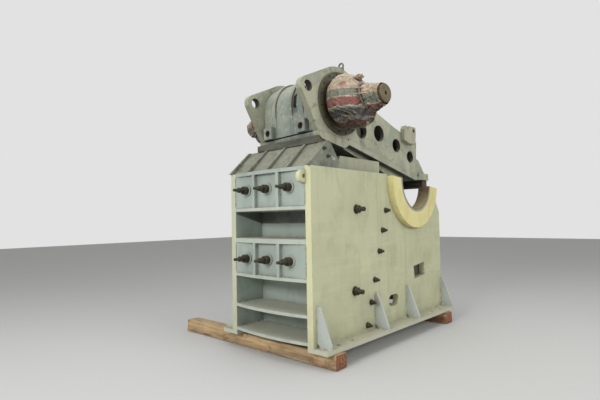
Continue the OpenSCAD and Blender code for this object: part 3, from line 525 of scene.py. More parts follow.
def woven_sheeting():
    """Striped woven plastic sheeting; U is the share of the way round the wrap, V runs along it."""
    g = Graph("woven_sheeting")
    u, v = (g.part(g.coord.outputs["UV"], axis) for axis in "XY")
    z = g.at("Z")
    # One ramp can't hold all stripes, so three follow each other
    turn = g.math("FRACT", g.plus(u, g.wobble(5, 3, 0.018)))
    g.colour = g.steps(turn, STRIPES[:15] + [(1, GREY)])
    for start in (15, 29):
        more = g.steps(turn, [(0, GREY)] + STRIPES[start:start + 14])
        g.coat(g.above(turn, STRIPES[start][0]), more)
    # Warp and weft threads
    weave = g.times(g.wave(u, tau * 2.07 / THREAD), g.wave(v, tau / THREAD))
    g.coat(g.span(weave, -1, 1, 0, 0.14), (60, 56, 54))
    g.coat(g.clouds(6, 5, 0.42, 0.66), (158, 146, 120), 0.22)
    g.coat(g.clouds(3.6, 6, 0.46, 0.66, distortion=0.8), (76, 68, 54), 0.48)
    g.coat(g.clouds(11, 6, 0.56, 0.68, distortion=1.2), (110, 68, 54), 0.35)
    # Painted shade on the wrap's lower part
    under = g.times(g.span(z, 2.96, 2.70), g.clouds(8, 5, 0.30, 0.62))
    g.coat(under, (52, 46, 38), 0.50)
    spot = g.vector("DISTANCE", g.place, JAW @ Vector((WRAP_START + 0.25, -0.270, 0.150)))
    spot = g.plus(spot.outputs["Value"], g.times(g.noise(16), 0.09))
    g.coat(g.span(spot, 0.100, 0.075, 0, 0.8), (128, 62, 44))
    # Painted shade in hollows, and along the creases
    g.coat(g.corners(0.05), (48, 40, 34), 0.8)
    crease = g.size(g.minus(g.noise(11, 3, distortion=0.5), 0.5))
    g.coat(g.span(crease, 0.03, 0), (58, 48, 42), 0.45)
    # Fold lines run slantwise across the hanging half, with painted shade along them and a painted
    # highlight beside them
    fold = g.math("SINE", g.plus(g.times(v, 62), g.times(u, 210), g.times(g.noise(4.5, 3), 15)))
    hung = g.times(g.span(z, 2.93, 2.85), g.clouds(4, 2, 0.40, 0.52))
    g.coat(g.times(hung, g.span(fold, 0.78, 0.96, 0, 0.65)), (34, 34, 28))
    g.coat(g.times(hung, g.span(fold, -0.90, -0.98, 0, 0.45)), (164, 172, 148))
    crumple = g.noise(17, 6, roughness=0.6, distortion=0.9)
    height = g.plus(g.times(weave, 0.05), crumple, g.times(hung, g.times(fold, -0.35)),
                    g.span(crease, 0, 0.08, 0, 0.5))
    rough = g.clouds(20, 3, 0.3, 0.7, 0.42, 0.62)
    return g.finish(rough, height, 0.8, 0.014, round_edges=0.001)


def rope():
    g = Graph("rope")
    g.colour = g.mix(g.clouds(26, 4, 0.35, 0.65), (128, 120, 104), (66, 60, 52))
    return g.finish(0.8, g.noise(260, 3), 0.5, 0.001, round_edges=0.001)


def weld_metal(name, main, dark):
    """A weld bead under the same primer, with brown where the primer is thin."""
    g = Graph(name)
    g.colour = g.mix(g.clouds(30, 5, 0.38, 0.66), main, dark)
    g.coat(g.clouds(12, 5, 0.60, 0.70), (124, 86, 58), 0.6)
    return g.finish(0.6, g.noise(220, 3), 0.4, 0.001, round_edges=0.001)


PAINTS = {  # main, pale, dull and dusty colour, and what differs from plain primer
    "frame_paint": (
        (181, 183, 149), (190, 191, 158), (158, 159, 127), (176, 174, 150),
        dict(streaks=0.7, dirt=0.5, extra=plate_marks)),
    "seat_paint": (
        (212, 202, 140), (222, 213, 154), (190, 179, 122), (188, 175, 130),
        dict(streaks=0.4, dirt=0.4, extra=seat_marks)),
    "front_paint": (
        (155, 166, 157), (170, 180, 171), (128, 139, 131), (186, 182, 162),
        dict(streaks=0.55, dirt=0.6, extra=recess_shade_on_wall)),
    "casting_paint": (
        (158, 159, 135), (174, 174, 150), (116, 116, 98), (164, 160, 136),
        dict(roughness=0.66, streaks=0.8, dirt=0.8, rough_cast=1.4, settled=0.7, extra=casting_marks)),
    # Ribs: a lighter copy of the front's paint, as painted light on the ribs' edges
    "lit_rib_paint": ((172, 180, 167), (184, 190, 178), (142, 150, 138), (186, 183, 164), {}),
    "gusset_paint": ((172, 179, 173), (184, 190, 184), (148, 155, 148), (174, 174, 158), dict(dirt=0.5)),
    "lip_paint": (
        (115, 118, 104), (138, 140, 123), (80, 82, 72), (140, 137, 117),
        dict(roughness=0.66, streaks=0.7, dirt=0.8, rough_cast=0.8, settled=0.35, extra=lip_marks)),
    "lug_paint": (
        (156, 154, 131), (172, 169, 146), (122, 120, 100), (160, 155, 130),
        dict(roughness=0.66, dirt=0.6, rough_cast=0.8)),
    "dark_iron": (
        (84, 82, 64), (120, 116, 94), (52, 50, 40), (128, 122, 100),
        dict(roughness=0.6, streaks=0.3, dirt=0.6, rough_cast=0.8)),
}
TIMBERS = {  # pale, brown and dark colour, share of bleaching and end grain
    "timber": ((200, 172, 130), (170, 136, 94), (108, 78, 52), 1.0),
    "rear_timber": ((168, 124, 88), (142, 96, 64), (106, 70, 46), 1.0),
    "dark_timber": ((66, 60, 46), (50, 44, 34), (36, 32, 24), 0.25),
    # Grey timber for the toe packer: weathered grey-green, made darker as painted shade of the gap under
    # the jaw's toe
    "grey_timber": ((98, 100, 87), (80, 83, 72), (56, 58, 50), 0.2),
}
WELDS = {  # main and dark colour
    "frame_weld": ((180, 180, 154), (138, 134, 112)),
    "front_weld": ((160, 168, 160), (112, 114, 104)),
    "casting_weld": ((138, 138, 122), (92, 90, 80)),
}
MATERIALS = {name: painted(name, *colours, **look) for name, (*colours, look) in PAINTS.items()}
MATERIALS.update({name: timber(name, *look) for name, look in TIMBERS.items()})
MATERIALS.update({name: weld_metal(name, *look) for name, look in WELDS.items()})
MATERIALS.update({make.__name__: make() for make in (
    machined_rust, bolt_steel, manganese_steel, shaft_steel, woven_sheeting, rope)})

SLOT_OF = {part["node"]: part["material_slot"] for part in frame["record"]["subparts"]}
LOOKS = {  # CAD nodes that look unlike the rest of their slot
    "dark_timber": ["tail_packer"],
    "grey_timber": ["toe_packer"],
    "gusset_paint": ["right_foot_gussets", "left_foot_gussets"],
    "lit_rib_paint": ["top_box_rib", "upper_rib", "middle_box_rib", "lower_shelf", "bottom_rib"],
    "lip_paint": ["feed_lip", "toggle_beam"],
    "lug_paint": ["tail_lugs"],
    "dark_iron": ["housing_lifting_eye", "shim_pack"],
}
LOOK_OF = {node: look for look, nodes in LOOKS.items() for node in nodes}


def dress_nodes():
    """Every CAD node that stays gets its slot's material, or its own."""
    for name, node in NODES.items():
        mat = MATERIALS[LOOK_OF.get(name, SLOT_OF[name])]
        if not node.material_slots:
            node.data.materials.append(mat)
        for held in node.material_slots:
            held.material = mat


# Mesh tools

def strand_ring(centre, first, second, radius):
    """Six points round a strand, in the plane of two directions."""
    return [centre + first * (radius * cos(k * pi / 3.0)) + second * (radius * sin(k * pi / 3.0))
            for k in range(6)]


class Shape:
    """Gathers vertices and faces, then makes one piece of them."""

    def __init__(self):
        self.verts = []
        self.faces = []

    def add(self, verts, faces, place=None):
        start = len(self.verts)
        self.verts += [place @ Vector(v) if place else Vector(v) for v in verts]
        flip = place is not None and place.to_3x3().determinant() < 0
        for face in faces:
            face = [start + i for i in face]
            self.faces.append(face[::-1] if flip else face)

    def skin(self, rings, place=None):
        """Joins rings of equal length into a skin of quads, with both ends filled."""
        count = len(rings[0])
        last = count * (len(rings) - 1)
        faces = []
        for row in range(0, last, count):
            for i in range(count):
                j = (i + 1) % count
                faces.append((row + i, row + j, row + count + j, row + count + i))
        faces += [range(count)[::-1], range(last, last + count)]
        self.add([v for ring in rings for v in ring], faces, place)

    def turned(self, profile, segments, place):
        """A closed turned body about Z from (radius, height) points."""
        rings = [[(r * cos(tau * i / segments), r * sin(tau * i / segments), z) for i in range(segments)]
                 for r, z in profile]
        self.skin(rings, place)

    def nut(self, across, height, place):
        """A hexagon nut body about Z with chamfered corners, standing on z = 0."""
        flat = across / 2.0
        drop = 0.10 * flat
        rim = [(flat / cos((tau * i / 36) % (pi / 3.0) - pi / 6.0), tau * i / 36) for i in range(36)]
        rings = []
        for limit, z in ((0.93 * flat, 0.0), (0.985 * flat, 0.0), (2.0 * flat, 0.55 * drop),
                         (2.0 * flat, height - 0.55 * drop), (0.985 * flat, height), (0.93 * flat, height)):
            rings.append([(min(r, limit) * cos(a), min(r, limit) * sin(a), z) for r, a in rim])
        self.skin(rings, place)

    def piece(self, name, slot, mat=None, body="root", smooth_angle=35.0, uvs=None):
        mesh = bpy.data.meshes.new(name)
        mesh.from_pydata([tuple(v) for v in self.verts], [], self.faces)
        if uvs is not None:
            layer = mesh.uv_layers.new(name="UVMap")
            for loop in mesh.loops:
                layer.data[loop.index].uv = uvs[loop.vertex_index]
        mesh.validate()
        mesh.update()
        made = bpy.data.objects.new(name, mesh)
        link(made)
        made.data.materials.append(mat or MATERIALS[slot])
        mesh.polygons.foreach_set("use_smooth", [True] * len(mesh.polygons))
        mesh.set_sharp_from_angle(angle=radians(smooth_angle))
        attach(made, body)
        return made


def thread(radius, start, end, pitch):
    """Profile of a threaded rod from start to end, with a chamfered tip."""
    points = [(radius, start)]
    z = start
    while z + pitch < end - pitch:
        points += [(radius, z + 0.2 * pitch), (radius - 0.32 * pitch, z + 0.6 * pitch), (radius, z + pitch)]
        z += pitch
    return points + [(radius, end - 0.9 * pitch), (radius - 0.9 * pitch, end)]


def facing(direction, place):
    """A matrix that stands Z along direction at place."""
    turn = Vector(direction).to_track_quat("Z", "Y").to_matrix().to_4x4()
    return Matrix.Translation(place) @ turn


def on_plate(side, y, z, depth=0.0):
    """Z out of a side plate, at its face or that far inside it."""
    return facing((side, 0, 0), at_frame(side * (HALF_W - depth), y, z))


def spun(matrix, degrees):
    return matrix @ Matrix.Rotation(radians(degrees), 4, "Z")


def raised(matrix, height):
    return matrix @ Matrix.Translation((0.0, 0.0, height))


# Bolts

CHEEK_BOLT_ZS = [0.115, 0.379, 0.646, 0.996, 1.260, 1.517]
CHEEK_LEAN = 0.34
CHEEK_FOOT_Y = 0.965
CHEEK_WASHER_T = 0.006
CHEEK_BOLT = (0.018, 0.042, 0.074)  # radius, end of the lock nut, end of the thread
WEDGE_BOLT = (0.028, 0.056, 0.124)
WEDGE_BOLTS = [(0.762, 0.559), (0.825, 1.529)]


def cheek_bolts():
    """Bolts in the side plates: washer, nut, lock nut, thread and shank."""
    shape = Shape()
    places = [(CHEEK_FOOT_Y + CHEEK_LEAN * z, z, *CHEEK_BOLT) for z in CHEEK_BOLT_ZS]
    places += [(y, z, *WEDGE_BOLT) for y, z in WEDGE_BOLTS]
    for side in (1, -1):
        for i, (y, z, r, nut, tip) in enumerate(places):
            base = on_plate(side, y, z)
            turned = spun(base, 17.0 * i + (7.0 if side > 0 else 31.0))
            shape.turned([(0.4 * r, 0.0), (2.02 * r, 0.0), (2.06 * r, 0.001), (2.06 * r, 0.005),
                          (1.98 * r, CHEEK_WASHER_T), (0.4 * r, CHEEK_WASHER_T)], 36, base)
            nut_place = raised(turned, CHEEK_WASHER_T)
            first = 0.6 * (nut - CHEEK_WASHER_T)
            shape.nut(3.02 * r, first, nut_place)
            shape.nut(2.94 * r, nut - CHEEK_WASHER_T - first, raised(spun(nut_place, 24.0), first))
            shape.turned([(r * 0.5, nut - 0.004)] + thread(r, nut - 0.003, tip, 0.0055)
                         + [(r * 0.18, tip), (r * 0.10, tip - 0.004)], 28, base)
            shape.turned([(r, 0.0), (r, 0.118)], 24, on_plate(side, y, z, HALF_W - INNER_X + 0.035))
    made = shape.piece("cheek_bolt_set", "bolt_steel")
    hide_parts("cheek_bolts")


JAW_BOLT_XS = [-0.360, 0.0, 0.360]
JAW_BOLT_ROWS = {"top_jaw_bolts": 1.780, "middle_jaw_bolts": 0.955}
JAW_BOLT_R = 0.018
JAW_BOLT_OUT = 0.218
WALL_BACK_Y = 0.505
JAW_WASHER_T = 0.016
DISH_T = 0.012
NUT_FOOT = 0.076
LOCK_NUT_FOOT = 0.120


def jaw_bolts():
    """Bolts that hold the fixed jaw plate: washer, dished spring stack, two nuts, thread."""
    washers = Shape()
    for row, (node, z) in enumerate(JAW_BOLT_ROWS.items()):
        shape = Shape()
        for i, x in enumerate(JAW_BOLT_XS):
            base = facing((0, -1, 0), at_frame(x, 0.0, z))
            turned = spun(base, 23.0 * i + 11.0 * row)
            washers.turned([(0.025, 0.0), (0.0672, 0.0), (0.0684, 0.002), (0.0684, 0.013),
                            (0.0668, JAW_WASHER_T), (0.025, JAW_WASHER_T)], 48, base)
            stack = [(0.025, JAW_WASHER_T)]
            for k in range(5):
                low = JAW_WASHER_T + DISH_T * k
                stack += [(0.0485, low + 0.0005), (0.0495, low + 0.002), (0.0495, low + 0.0085),
                          (0.0480, low + 0.0105), (0.0415, low + 0.0118)]
            shape.turned(stack + [(0.025, NUT_FOOT)], 40, base)
            shape.nut(0.0606, 0.044, raised(turned, NUT_FOOT))
            shape.nut(0.0558, 0.030, raised(spun(turned, 21.0), LOCK_NUT_FOOT))
            rod = [(0.008, 0.148)] + thread(JAW_BOLT_R, 0.149, JAW_BOLT_OUT, 0.0050)
            rod += [(0.005, JAW_BOLT_OUT), (0.003, JAW_BOLT_OUT - 0.004)]
            shape.turned(rod, 28, base)
            shank = facing((0, 1, 0), at_frame(x, 0.0, z))
            shape.turned([(JAW_BOLT_R, 0.0), (JAW_BOLT_R, WALL_BACK_Y)], 24, shank)
        made = shape.piece(node.replace("_bolts", "_bolt_set"), "bolt_steel")
        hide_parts(node)
    washers.piece("jaw_bolt_washers", "front_paint")


SCREWS = 16
SCREW_CIRCLE_R = COVER_R - 0.027


def cover_screws():
    """Socket screws round each bearing cover, sunk into the ring's face."""
    shape = Shape()
    for side in SIDES:
        for i in range(SCREWS):
            angle = tau * (i + 0.5) / SCREWS
            y, z = SCREW_CIRCLE_R * cos(angle), SCREW_CIRCLE_R * sin(angle)
            place = JAW @ side @ facing((1, 0, 0), (JAW_HALF + COVER_T - 0.001, y, z))
            shape.turned([(0.011, 0.0), (0.0135, 0.0), (0.0140, 0.001), (0.0140, 0.0055), (0.0125, 0.0068),
                          (0.0072, 0.0068), (0.0070, 0.0020), (0.0012, 0.0016)], 20, place)
    shape.piece("cover_screws", "bolt_steel")


def lip_pins():
    """Two short stubs on each end of the feed lip."""
    shape = Shape()
    for side in (1, -1):
        for y, z in ((0.232, FRAME_H + 0.205), (0.300, FRAME_H + 0.122)):
            shape.turned([(0.004, -0.004), (0.021, -0.004), (0.021, 0.010), (0.0145, 0.012),
                          (0.0145, 0.032), (0.0120, 0.036), (0.003, 0.036)], 24, on_plate(side, y, z))
    shape.piece("lip_pins", "bolt_steel")


# Weld beads

class Welds(Shape):
    """Weld beads; the seed of their ripples grows from bead to bead."""

    def __init__(self, seed, growth):
        super().__init__()
        self.seed = seed
        self.growth = growth

    def bead(self, start, end, radius, step=0.008, place=at_frame, new_seed=True):
        """A rounded ridge with ripples along a line."""
        if new_seed:
            self.seed += self.growth
        start, end = place(*start), place(*end)
        count = max(1, int((end - start).length / step))
        line = [start.lerp(end, i / count) for i in range(count)] + [end]
        rings = []
        for i, here in enumerate(line):
            ahead = (line[min(i + 1, count)] - line[max(i - 1, 0)]).normalized()
            side = ahead.cross(Vector((0.31, 0.52, 0.79))).normalized()
            up = ahead.cross(side)
            ripple = 1.0 + 0.10 * sin(i * 2.1) + 0.16 * noise.noise(Vector((i * 0.23, self.seed, 0.0)))
            r = radius * ripple * (0.25 if i in (0, count) else 1.0)
            rings.append(strand_ring(here, side, up, r))
        self.skin(rings)


GUSSET_YS = (0.055, 1.180, 1.960, FRAME_L - 0.036)


def frame_welds():
    """Beads along the base flanges and round their gussets."""
    welds = Welds(0.0, 1.7)
    z = FLANGE_T + 0.002
    stops = [0.0] + [v for y in GUSSET_YS for v in (y - 0.002, y + 0.038)] + [FRAME_L]
    for side in (1, -1):
        x = side * (HALF_W + 0.002)
        for a, b in zip(stops[::2], stops[1::2]):
            if b - a > 0.05:
                welds.bead((x, a + 0.008, z), (x, b - 0.008, z), 0.010)
        for face in (v for y in GUSSET_YS for v in (y - 0.001, y + 0.037)):
            if 0.0 < face < FRAME_L:
                welds.bead((x, face, FLANGE_T + 0.05), (x, face, FLANGE_T + 0.42), 0.007)
                outer = side * (HALF_W + FLANGE_OUT - 0.01)
                welds.bead((side * (HALF_W + 0.05), face, z), (outer, face, z), 0.007, new_seed=False)
    welds.piece("frame_weld_beads", "frame_paint", MATERIALS["frame_weld"])


RIBS = [  # underside height, thickness
    (1.525, 0.038), (1.145, 0.055), (0.733, 0.038), (0.355, 0.035), (0.065, 0.035),
]
BOX_PANELS = [(1.563, 1.957), (0.771, 1.145)]  # foot, top
PANEL_Y = -0.001


def front_welds():
    """Beads where the horizontal ribs meet the side plates and the wall plate, and on the box panels."""
    welds = Welds(40.0, 1.3)
    for z in (v for low, thick in RIBS for v in (low - 0.002, low + thick + 0.002) if v >= 0.07):
        for x in (INNER_X - 0.002, 0.002 - INNER_X):
            welds.bead((x, 0.010, z), (x, 0.436, z), 0.007, 0.009)
        welds.bead((-INNER_X + 0.006, 0.443, z), (INNER_X - 0.006, 0.443, z), 0.007, 0.009)
    for low, high in BOX_PANELS:
        for x in (-0.224, -0.176, 0.176, 0.224):
            welds.bead((x, PANEL_Y, low + 0.01), (x, PANEL_Y, high - 0.01), 0.0055)
        for x in (INNER_X - 0.001, 0.001 - INNER_X):
            welds.bead((x, PANEL_Y, low + 0.01), (x, PANEL_Y, high - 0.01), 0.0065)
        for z in (low + 0.001, high - 0.001):
            welds.bead((-INNER_X + 0.01, PANEL_Y, z), (INNER_X - 0.01, PANEL_Y, z), 0.006)
    welds.piece("front_weld_beads", "front_paint", MATERIALS["front_weld"])


def jaw_welds():
    """Beads along the swing jaw's side walls, where they stand on the face plate's rails."""
    welds = Welds(90.0, 1.3)
    start, end = ((JAW_HALF + 0.001, y, -0.379 - JAW_SLOPE * y) for y in (0.18, 1.70))
    for side in SIDES:
        welds.bead(start, end, 0.008, 0.009, lambda *point: JAW @ side @ Vector(point))
    welds.piece("jaw_weld_beads", "casting_paint", MATERIALS["casting_weld"])


# Timber

SKID_HALF = 0.100
SKID_REACH = 0.890
LONG_REACH = 1.850
REAR_SKID_Y = FRONT_Y + FRAME_L - 0.210
BEAM_CELL = 0.05
WORN = 0.006


def beam(node, left_reach, y, mat, seed):
    """A sawn beam across the frame, with worn edges and slightly uneven faces."""
    low, high = Vector((-left_reach, y - SKID_HALF, 0.0)), Vector((SKID_REACH, y + SKID_HALF, SKID_H))
    size = high - low
    cells = [max(2, int(round(s / BEAM_CELL))) for s in size]
    index = {}
    verts = []

    def vertex(key):
        if key not in index:
            share = Vector([key[a] / cells[a] for a in range(3)])
            here = Vector([low[a] + size[a] * share[a] for a in range(3)])
            inward = Vector([{0.0: 1.0, 1.0: -1.0}.get(part, 0.0) for part in share])
            faces_met = sum(1 for part in inward if part)
            amount = 0.0015 + WORN * 0.35 * (0.5 + noise.noise(here * 3.1 + Vector((seed, 0, 0))))
            if faces_met >= 2:
                rough = 0.5 + noise.noise(here * 9.0 + Vector((0, seed, 0)))
                amount += WORN * (0.45 + max(0.0, rough))
            moved = here + inward * max(amount, 0.0)
            # The underside and the top stay flat where they carry load
            if share[2] in (0.0, 1.0) and faces_met < 2:
                moved.z = here.z
            index[key] = len(verts)
            verts.append(moved)
        return index[key]

    faces = []
    for a in range(3):
        b, c = (a + 1) % 3, (a + 2) % 3
        for end in (0, cells[a]):
            for i in range(cells[b]):
                for j in range(cells[c]):
                    corners = []
                    for di, dj in ((0, 0), (1, 0), (1, 1), (0, 1)):
                        key = [0, 0, 0]
                        key[a], key[b], key[c] = end, i + di, j + dj
                        corners.append(vertex(tuple(key)))
                    faces.append(corners if end else corners[::-1])
    shape = Shape()
    shape.add(verts, faces)
    made = shape.piece(node + "_beam", "timber", MATERIALS[mat], smooth_angle=50.0)
    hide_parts(node)


# Wraps of woven sheeting

WRAP_END = 1.1825
WRAP_PROFILE = [  # distance along the wrap, radius
    (0.000, 0.262), (0.025, 0.302), (0.075, 0.326), (0.130, 0.336), (0.190, 0.335), (0.250, 0.318),
    (0.300, 0.284), (0.345, 0.236), (0.380, 0.190), (0.405, 0.164), (0.425, 0.164), (0.450, 0.164),
    (0.500, 0.148), (0.560, 0.133), (0.600, 0.126), (0.6255, 0.120),
]
NECK = 0.408
ROUND = 240
ALONG = 120
CLOTH_T = 0.0016
CLOTH_V = 0.80
BEARING_CLEAR = 0.2515
SHAFT_CLEAR = 0.1165
STRIPE_R = 0.332
TIE_R = 0.1720
KNOT_SIZE = 0.058


def wrap_radius(s):
    """Radius of a wrap at distance s along it."""
    for (s0, r0), (s1, r1) in zip(WRAP_PROFILE, WRAP_PROFILE[1:]):
        if s <= s1:
            return r0 + (r1 - r0) * ((s - s0) / (s1 - s0))
    return WRAP_PROFILE[-1][1]


def round_shaft(x, radius, angle):
    """A point round a wrap's axis; angle 0 is the front, and angles grow upward over the top."""
    return Vector((x, -radius * cos(angle), radius * sin(angle)))


def bump_at(x, centre, width):
    t = (x - centre) / width
    return exp(-t * t)


def slipped(s, angle):
    """The bag hangs further along the shaft below it than above it."""
    share = s / (WRAP_END - WRAP_START)
    return s + 0.22 * sin(angle) * share * (1.0 - share)


def hanging(angle):
    """1 on the lower half of a wrap, 0 on its upper half."""
    return 1.0 / (1.0 + exp((sin(angle) + 0.12) / 0.13))


def ridge(place, x=0.0, y=0.0, z=0.0):
    """Sharp crests with soft valleys between them, up to 1; x, y, z shift the pattern."""
    return 1.0 - 3.2 * abs(noise.noise(place + Vector((x, y, z))))


def skin_radius(t, angle, seed):
    """Radius of a wrap's skin, with pleats into the neck and loose folds; t is the slipped distance."""
    loose = bump_at(t, 0.17, 0.17)
    pleats = bump_at(t, NECK - 0.02, 0.075)
    sleeve = 1.0 / (1.0 + exp(-(t - 0.45) / 0.02))
    # Pleats swing round as they run into the neck
    swing = angle + 0.5 * sin(angle + seed) * (NECK - t) + 1.5 * max(0.0, NECK - t)
    where = Vector((cos(swing) * 2.2, sin(swing) * 2.2, t * 3.4 + seed))
    soft = noise.noise(where * 1.2)
    folds = sin(9.0 * swing + 3.4 * soft + seed)
    r = wrap_radius(t)
    r += loose * (0.020 * soft + 0.0035 * folds - 0.003)
    r += loose * 0.0085 * ridge(where * 1.7, y=5.0)
    r += loose * 0.0060 * ridge(where * 3.6, x=3.0, z=1.0)
    r += (0.5 * loose + sleeve) * 0.0042 * ridge(where * 8.0)
    r += pleats * (0.0110 * folds + 0.0090 * sin(21.0 * swing + 4.6 * soft + 9.0 * t + 2.0 * seed)
                   + 0.0040 * sin(37.0 * swing + 5.0 * soft - 14.0 * t))
    # Creases run slantwise down to the neck across the lower half
    slant = sin(46.0 * t + 5.0 * angle + 4.5 * soft + seed)
    slant2 = sin(83.0 * t - 7.0 * angle + 6.0 * soft + 2.0 * seed)
    crease = max(0.0, 1.0 - 2.6 * abs(slant)) + 0.6 * max(0.0, 1.0 - 2.2 * abs(slant2))
    r -= loose * (0.25 + hanging(angle)) * 0.0165 * crease
    # Slack slides down the shaft's underside and hangs in two heavy folds
    down = max(0.0, -sin(angle))
    r -= down * (0.022 * bump_at(t, 0.12, 0.14) - 0.008 * bump_at(t, 0.33, 0.05) * folds)
    bands = sin(t * 120.0 + 2.0 * angle + 3.2 * soft)
    r += sleeve * (0.0040 * bands + 0.010 * noise.noise(where * 1.6 + Vector((7.0, 0.0, 0.0))))
    return max(r, SHAFT_CLEAR + 0.004 * sleeve)


def wrap_skin(seed):
    """Rings of points of a wrap's skin round local X, and the skin's area."""
    rings = []
    for j in range(ALONG + 1):
        s = (WRAP_END - WRAP_START) * j / ALONG
        ring = []
        for i in range(ROUND):
            angle = tau * i / ROUND
            r = skin_radius(slipped(s, angle), angle, seed)
            if 0.012 < s < 0.242:
                r = max(r, BEARING_CLEAR)
            frayed = 0.0
            if j >= ALONG - 1:
                frayed = -0.005 + 0.0045 * noise.noise(Vector((angle * 9.0, seed, 3.0)))
            if j == 0:
                frayed = 0.004 + 0.003 * noise.noise(Vector((angle * 7.0, seed, 9.0)))
            ring.append(round_shaft(WRAP_START + s + frayed, r, angle))
        rings.append(ring)
    area = 0.0
    for a, b in zip(rings, rings[1:]):
        for i in range(ROUND):
            k = (i + 1) % ROUND
            area += 0.5 * (b[k] - a[i]).cross(b[i] - a[k]).length
    return rings, area


def stripe_share(point, turn):
    """Stripes run straight along the shaft, so they follow the height, not the radius."""
    t = slipped(point.x - WRAP_START, tau * turn)
    low = hanging(tau * turn) * bump_at(t, 0.22, 0.20)
    z = point.z + 0.070 + 0.008 * noise.noise(point * 8.0) + 0.030 * low * noise.noise(point * 15.0)
    lift = asin(max(-1.0, min(1.0, z / STRIPE_R))) / tau
    if t > NECK:
        lift += 0.050
    if 0.25 < turn <= 0.75:
        return 0.5 - lift
    return lift if turn <= 0.25 else 1.0 + lift


def wrap(side, name, seed, node):
    place = raised(JAW @ side, -ECCENTRICITY)
    rings, area = wrap_skin(seed)
    verts = []
    uvs = []
    for j, ring in enumerate(rings):
        for i in range(ROUND + 1):
            verts.append(ring[i % ROUND])
            uvs.append((stripe_share(ring[i % ROUND], i / ROUND), j / ALONG * CLOTH_V))
    row = ROUND + 1
    starts = [j * row + i for j in range(ALONG) for i in range(ROUND)]
    shape = Shape()
    shape.add(verts, [(a, a + row, a + row + 1, a + 1) for a in starts], place)
    cloth = shape.piece(name, "woven_sheeting", None, "shaft", 80.0, uvs)
    thick = cloth.modifiers.new("thickness", "SOLIDIFY")
    thick.thickness = CLOTH_T
    thick.offset = -1.0
    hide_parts(node)
    tie = wrap_tie(place, name + "_tie", seed)
    knot = wrap_knot(place, name + "_knot", seed)


def wrap_tie(place, name, seed):
    """A twisted strip of sheeting, wound twice round the neck where the bag ends."""
    shape = Shape()
    count = 320
    for strand in range(3):
        rings = []
        for i in range(count + 1):
            t = i / count
            angle = 2.0 * tau * t + seed
            lay = tau * (16.0 * t + strand / 3.0)
            s = NECK + 0.004
            for _ in range(4):
                s = NECK + 0.004 - (slipped(s, angle) - s)
            r = TIE_R + 0.0035 * sin(2.0 * angle + seed) + 0.0040 * cos(lay)
            x = WRAP_START + s + 0.016 * (t - 0.5) + 0.004 * sin(angle * 1.5) + 0.0045 * sin(lay)
            size = 0.0042 * (1.0 + 0.25 * sin(5.0 * angle + strand))
            outward = round_shaft(0.0, 1.0, angle)
            rings.append(strand_ring(round_shaft(x, r, angle), outward, Vector((1.0, 0.0, 0.0)), size))
        shape.skin(rings, place)
    return shape.piece(name, "woven_sheeting", MATERIALS["rope"], "shaft", 60.0)


def wrap_knot(place, name, seed):
    """The bunched corner of the sheeting, tucked under itself on top of the bag."""
    rings = []
    uvs = []
    steps, count = 30, 48
    for j in range(1, steps):
        polar = pi * j / steps
        ring = []
        for i in range(count):
            angle = tau * i / count
            way = Vector((sin(polar) * cos(angle), sin(polar) * sin(angle), cos(polar)))
            r = 1.0 + 0.16 * ridge(way * 1.3, x=seed)
            r += 0.10 * sin(6.0 * angle + 5.0 * polar + seed)
            r += 0.06 * ridge(way * 3.1, y=seed)
            ring.append(Vector((WRAP_START + 0.300 + KNOT_SIZE * r * way.x, -0.045 + KNOT_SIZE * r * way.y,
                                0.250 + 0.028 * r * way.z + 0.018 * way.x)))
            uvs.append((0.132 + 0.020 * sin(angle + seed), 0.2 * polar))
        rings.append(ring)
    shape = Shape()
    shape.skin(rings, place)
    return shape.piece(name, "woven_sheeting", None, "shaft", 80.0, uvs)


# Shaft

SHAFT_PROFILE = [  # radius, distance from the jaw's middle: chamfers, and a centre hole in the end
    (SHAFT_END_R, JAW_HALF + 0.005), (SHAFT_END_R, SHAFT_HALF - 0.006),
    (SHAFT_END_R - 0.0060, SHAFT_HALF), (0.0300, SHAFT_HALF), (0.0230, SHAFT_HALF - 0.0003),
    (0.0200, SHAFT_HALF - 0.003), (0.0090, SHAFT_HALF - 0.020), (0.0040, SHAFT_HALF - 0.022),
]
MAIN_BEARING = [(0.110, 0.5695), (0.238, 0.5695), (0.245, 0.576), (0.245, 0.792), (0.238, 0.799),
                (0.110, 0.799)]
SHAFT_MIDDLE = [(0.010, 0.0), (0.185, 0.0), (0.185, 0.370), (0.160, 0.372), (0.160, 0.529), (0.010, 0.529)]


def shaft():
    """The eccentric shaft: its ends and main bearings run off the middle's axis."""
    shape = Shape()
    for side in (1, -1):
        outward = facing((side, 0, 0), (0, 0, 0))
        place = raised(JAW, -ECCENTRICITY) @ outward
        shape.turned(SHAFT_PROFILE, 96, place)
        shape.turned(MAIN_BEARING, 96, place)
        shape.turned(SHAFT_MIDDLE, 96, JAW @ outward)
    made = shape.piece("turned_shaft", "shaft_steel", None, "shaft", 30.0)
    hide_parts("eccentric_shaft")


# Light and floor

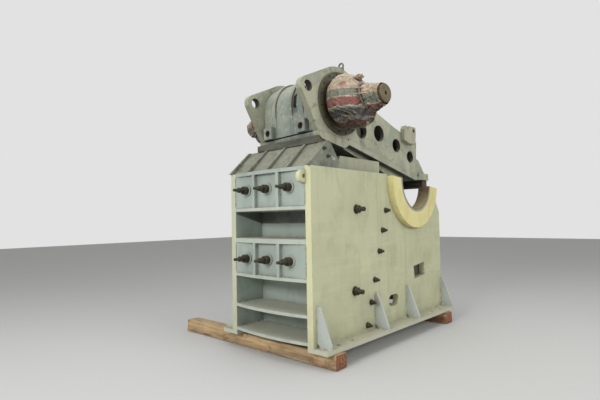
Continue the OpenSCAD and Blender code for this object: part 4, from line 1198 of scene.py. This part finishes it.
def lamp(name, place, aim, size, power):
    data = bpy.data.lights.new(name, "AREA")
    data.shape = "RECTANGLE"
    data.size, data.size_y = size
    data.energy = power
    made = bpy.data.objects.new(name, data)
    direction = Vector(aim) - Vector(place)
    made.matrix_world = Matrix.Translation(place) @ direction.to_track_quat("-Z", "Y").to_matrix().to_4x4()
    link(made)


def stage():
    """A pale floor and even studio light."""
    bpy.ops.mesh.primitive_plane_add(size=60.0)
    floor = bpy.context.object
    floor.name = "floor"
    mat = bpy.data.materials.new("floor")
    mat.use_nodes = True
    look = mat.node_tree.nodes["Principled BSDF"].inputs
    look["Base Color"].default_value = (0.56, 0.56, 0.55, 1.0)
    look["Roughness"].default_value = 0.9
    floor.data.materials.append(mat)
    world = bpy.data.worlds.new("world")
    world.use_nodes = True
    nodes = world.node_tree.nodes
    # What the camera and smooth metal see behind the object is a paler backdrop
    even, backdrop = nodes["Background"], nodes.new("ShaderNodeBackground")
    for glow, strength in ((even, 0.42), (backdrop, 0.76)):
        glow.inputs["Color"].default_value = (1.0, 1.0, 1.0, 1.0)
        glow.inputs["Strength"].default_value = strength
    rays = nodes.new("ShaderNodeLightPath")
    seen = nodes.new("ShaderNodeMath")
    seen.operation = "MAXIMUM"
    both = nodes.new("ShaderNodeMixShader")
    for start, output, end, place in (
            (rays, "Is Camera Ray", seen, 0), (rays, "Is Glossy Ray", seen, 1), (seen, 0, both, 0),
            (even, 0, both, 1), (backdrop, 0, both, 2), (both, 0, nodes["World Output"], "Surface")):
        world.node_tree.links.new(start.outputs[output], end.inputs[place])
    bpy.context.scene.world = world
    lamp("overhead", (0.5, 0, 7.5), (0, 1, 1), (5, 5), 190)
    lamp("front", (1, -10, 5.2), (0, 0.2, 1), (4, 2.2), 640)
    lamp("right", (11, 1, 5), (0, 1.2, 1.5), (6, 4), 500)


camera()
dress_nodes()
cheek_bolts()
jaw_bolts()
cover_screws()
lip_pins()
frame_welds()
front_welds()
jaw_welds()
beam("front_skid", LONG_REACH, 0.0, "timber", 3.0)
beam("rear_skid", SKID_REACH, REAR_SKID_Y, "rear_timber", 8.0)
wrap(SIDES[0], "right_sheeting", 1.7, "right_wrap")
wrap(SIDES[1], "left_sheeting", 4.1, "left_wrap")
shaft()
stage()
bpy.context.scene.view_settings.view_transform = "Standard"
